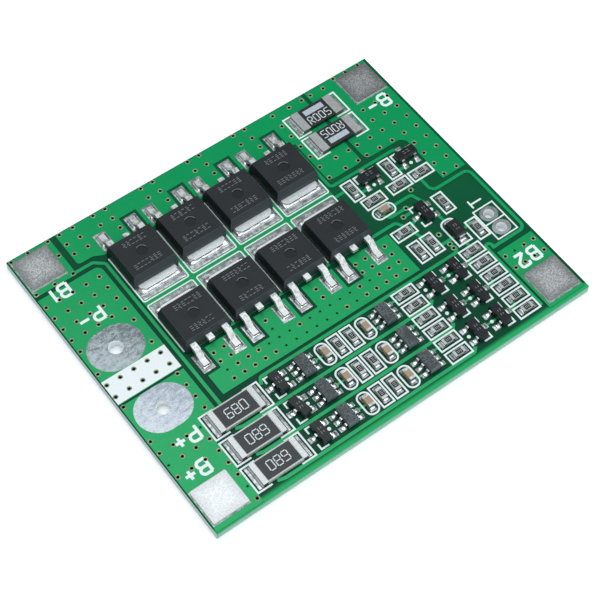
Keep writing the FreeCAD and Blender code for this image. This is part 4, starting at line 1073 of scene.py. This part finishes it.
def add_floor():
    """A plain pale floor under the board, which the camera sees as white around it."""
    half_size = 1.2
    mesh = bmesh.new()
    bmesh.ops.create_grid(mesh, x_segments=1, y_segments=1, size=half_size)
    data = bpy.data.meshes.new("floor")
    mesh.to_mesh(data)
    mesh.free()
    graph = Graph("floor")
    seen = graph.add("ShaderNodeLightPath", {}, "Is Camera Ray", {})
    open_floor = seen * graph.past_outline().ramp(-1.0, 0.0)
    glow = open_floor.mix(NO_GLOW, FLOOR_GLOW)
    data.materials.append(graph.finish(Base_Color=graph.noise(4.0).mix(FLOOR, FLOOR_PALE), Roughness=0.8,
                                       Emission_Color=glow, Emission_Strength=1.0))
    floor = bpy.data.objects.new("floor", data)
    floor.location.z = -CLOSE
    bpy.context.scene.collection.objects.link(floor)


def add_room(brightness):
    """A dim room that the camera sees as white."""
    world = bpy.data.worlds.new("room")
    world.use_nodes = True
    bpy.context.scene.world = world
    tree = world.node_tree
    background = tree.nodes["Background"]
    seen = tree.nodes.new("ShaderNodeLightPath")
    tone = tree.nodes.new("ShaderNodeMix")
    tone.data_type = "RGBA"
    tone.inputs[6].default_value = shade(DAYLIGHT, brightness) + (1.0,)
    tone.inputs[7].default_value = (1.0, 1.0, 1.0, 1.0)
    tree.links.new(seen.outputs["Is Camera Ray"], tone.inputs[0])
    tree.links.new(tone.outputs[2], background.inputs["Color"])


def add_panel(name, place, size, power, turn=0.0):
    """A square soft light that faces the board's middle."""
    light = bpy.data.lights.new(name, "AREA")
    light.size = size
    light.energy = power
    light.color = shade(DAYLIGHT, 0.97)
    lamp = bpy.data.objects.new(name, light)
    lamp.location = place
    facing = (-Vector(place)).to_track_quat("-Z", "Y")
    lamp.rotation_euler = (facing @ Quaternion((0, 0, 1), turn)).to_euler()
    bpy.context.scene.collection.objects.link(lamp)


def add_camera(chosen):
    """The camera at the picture's own angle, with its directions as unit vectors."""
    right = Vector((0.80129, -0.59802, 0.01753))
    up = Vector((0.49825, 0.68326, 0.53377))
    back = Vector((-0.33118, -0.41897, 0.84545))
    picture_size = 600
    data = bpy.data.cameras.new("camera")
    data.lens = chosen.focal
    data.clip_start = 0.01
    camera = bpy.data.objects.new("camera", data)
    turn = Matrix((right, up, back)).transposed().to_4x4()
    camera.matrix_world = Matrix.Translation(Vector(chosen.camera_place)) @ turn
    scene = bpy.context.scene
    scene.collection.objects.link(camera)
    scene.camera = camera
    scene.render.resolution_x = picture_size
    scene.render.resolution_y = picture_size
    scene.view_settings.view_transform = "Standard"


class BOARD_PT_panel(bpy.types.Panel):
    """Settings and buttons of the board"""
    bl_label = "Battery Management Board"
    bl_idname = "BOARD_PT_panel"
    bl_space_type = "VIEW_3D"
    bl_region_type = "UI"
    bl_category = "Board"

    def draw(self, context):
        shown = context.scene.board_settings
        for group in (shown.colours, shown.solder, shown.detail, shown.studio):
            box = self.layout.box()
            for name in group.bl_rna.properties.keys():
                if name not in ("rna_type", "name"):
                    box.prop(group, name)
        for operator in OPERATORS:
            self.layout.operator(operator.bl_idname)


GROUPS = (ColourSettings, SolderSettings, DetailSettings, StudioSettings, BoardSettings)
OPERATORS = (BOARD_OT_dress, BOARD_OT_solder, BOARD_OT_vias, BOARD_OT_plugs, BOARD_OT_hole_plating,
             BOARD_OT_codes, BOARD_OT_chip_tops, BOARD_OT_body_marks, BOARD_OT_small_marks,
             BOARD_OT_lead_ends, BOARD_OT_studio)
CLASSES = GROUPS + OPERATORS + (BOARD_PT_panel,)


def register():
    """Add the classes and the scene's settings."""
    for item in CLASSES:
        bpy.utils.register_class(item)
    bpy.types.Scene.board_settings = PointerProperty(type=BoardSettings)


def unregister():
    """Take them away again."""
    del bpy.types.Scene.board_settings
    for item in reversed(CLASSES):
        bpy.utils.unregister_class(item)


def main():
    """Build everything in order."""
    register()
    for operator in OPERATORS:
        group, name = operator.bl_idname.split(".")
        getattr(getattr(bpy.ops, group), name)()


if __name__ == "__main__":
    main()
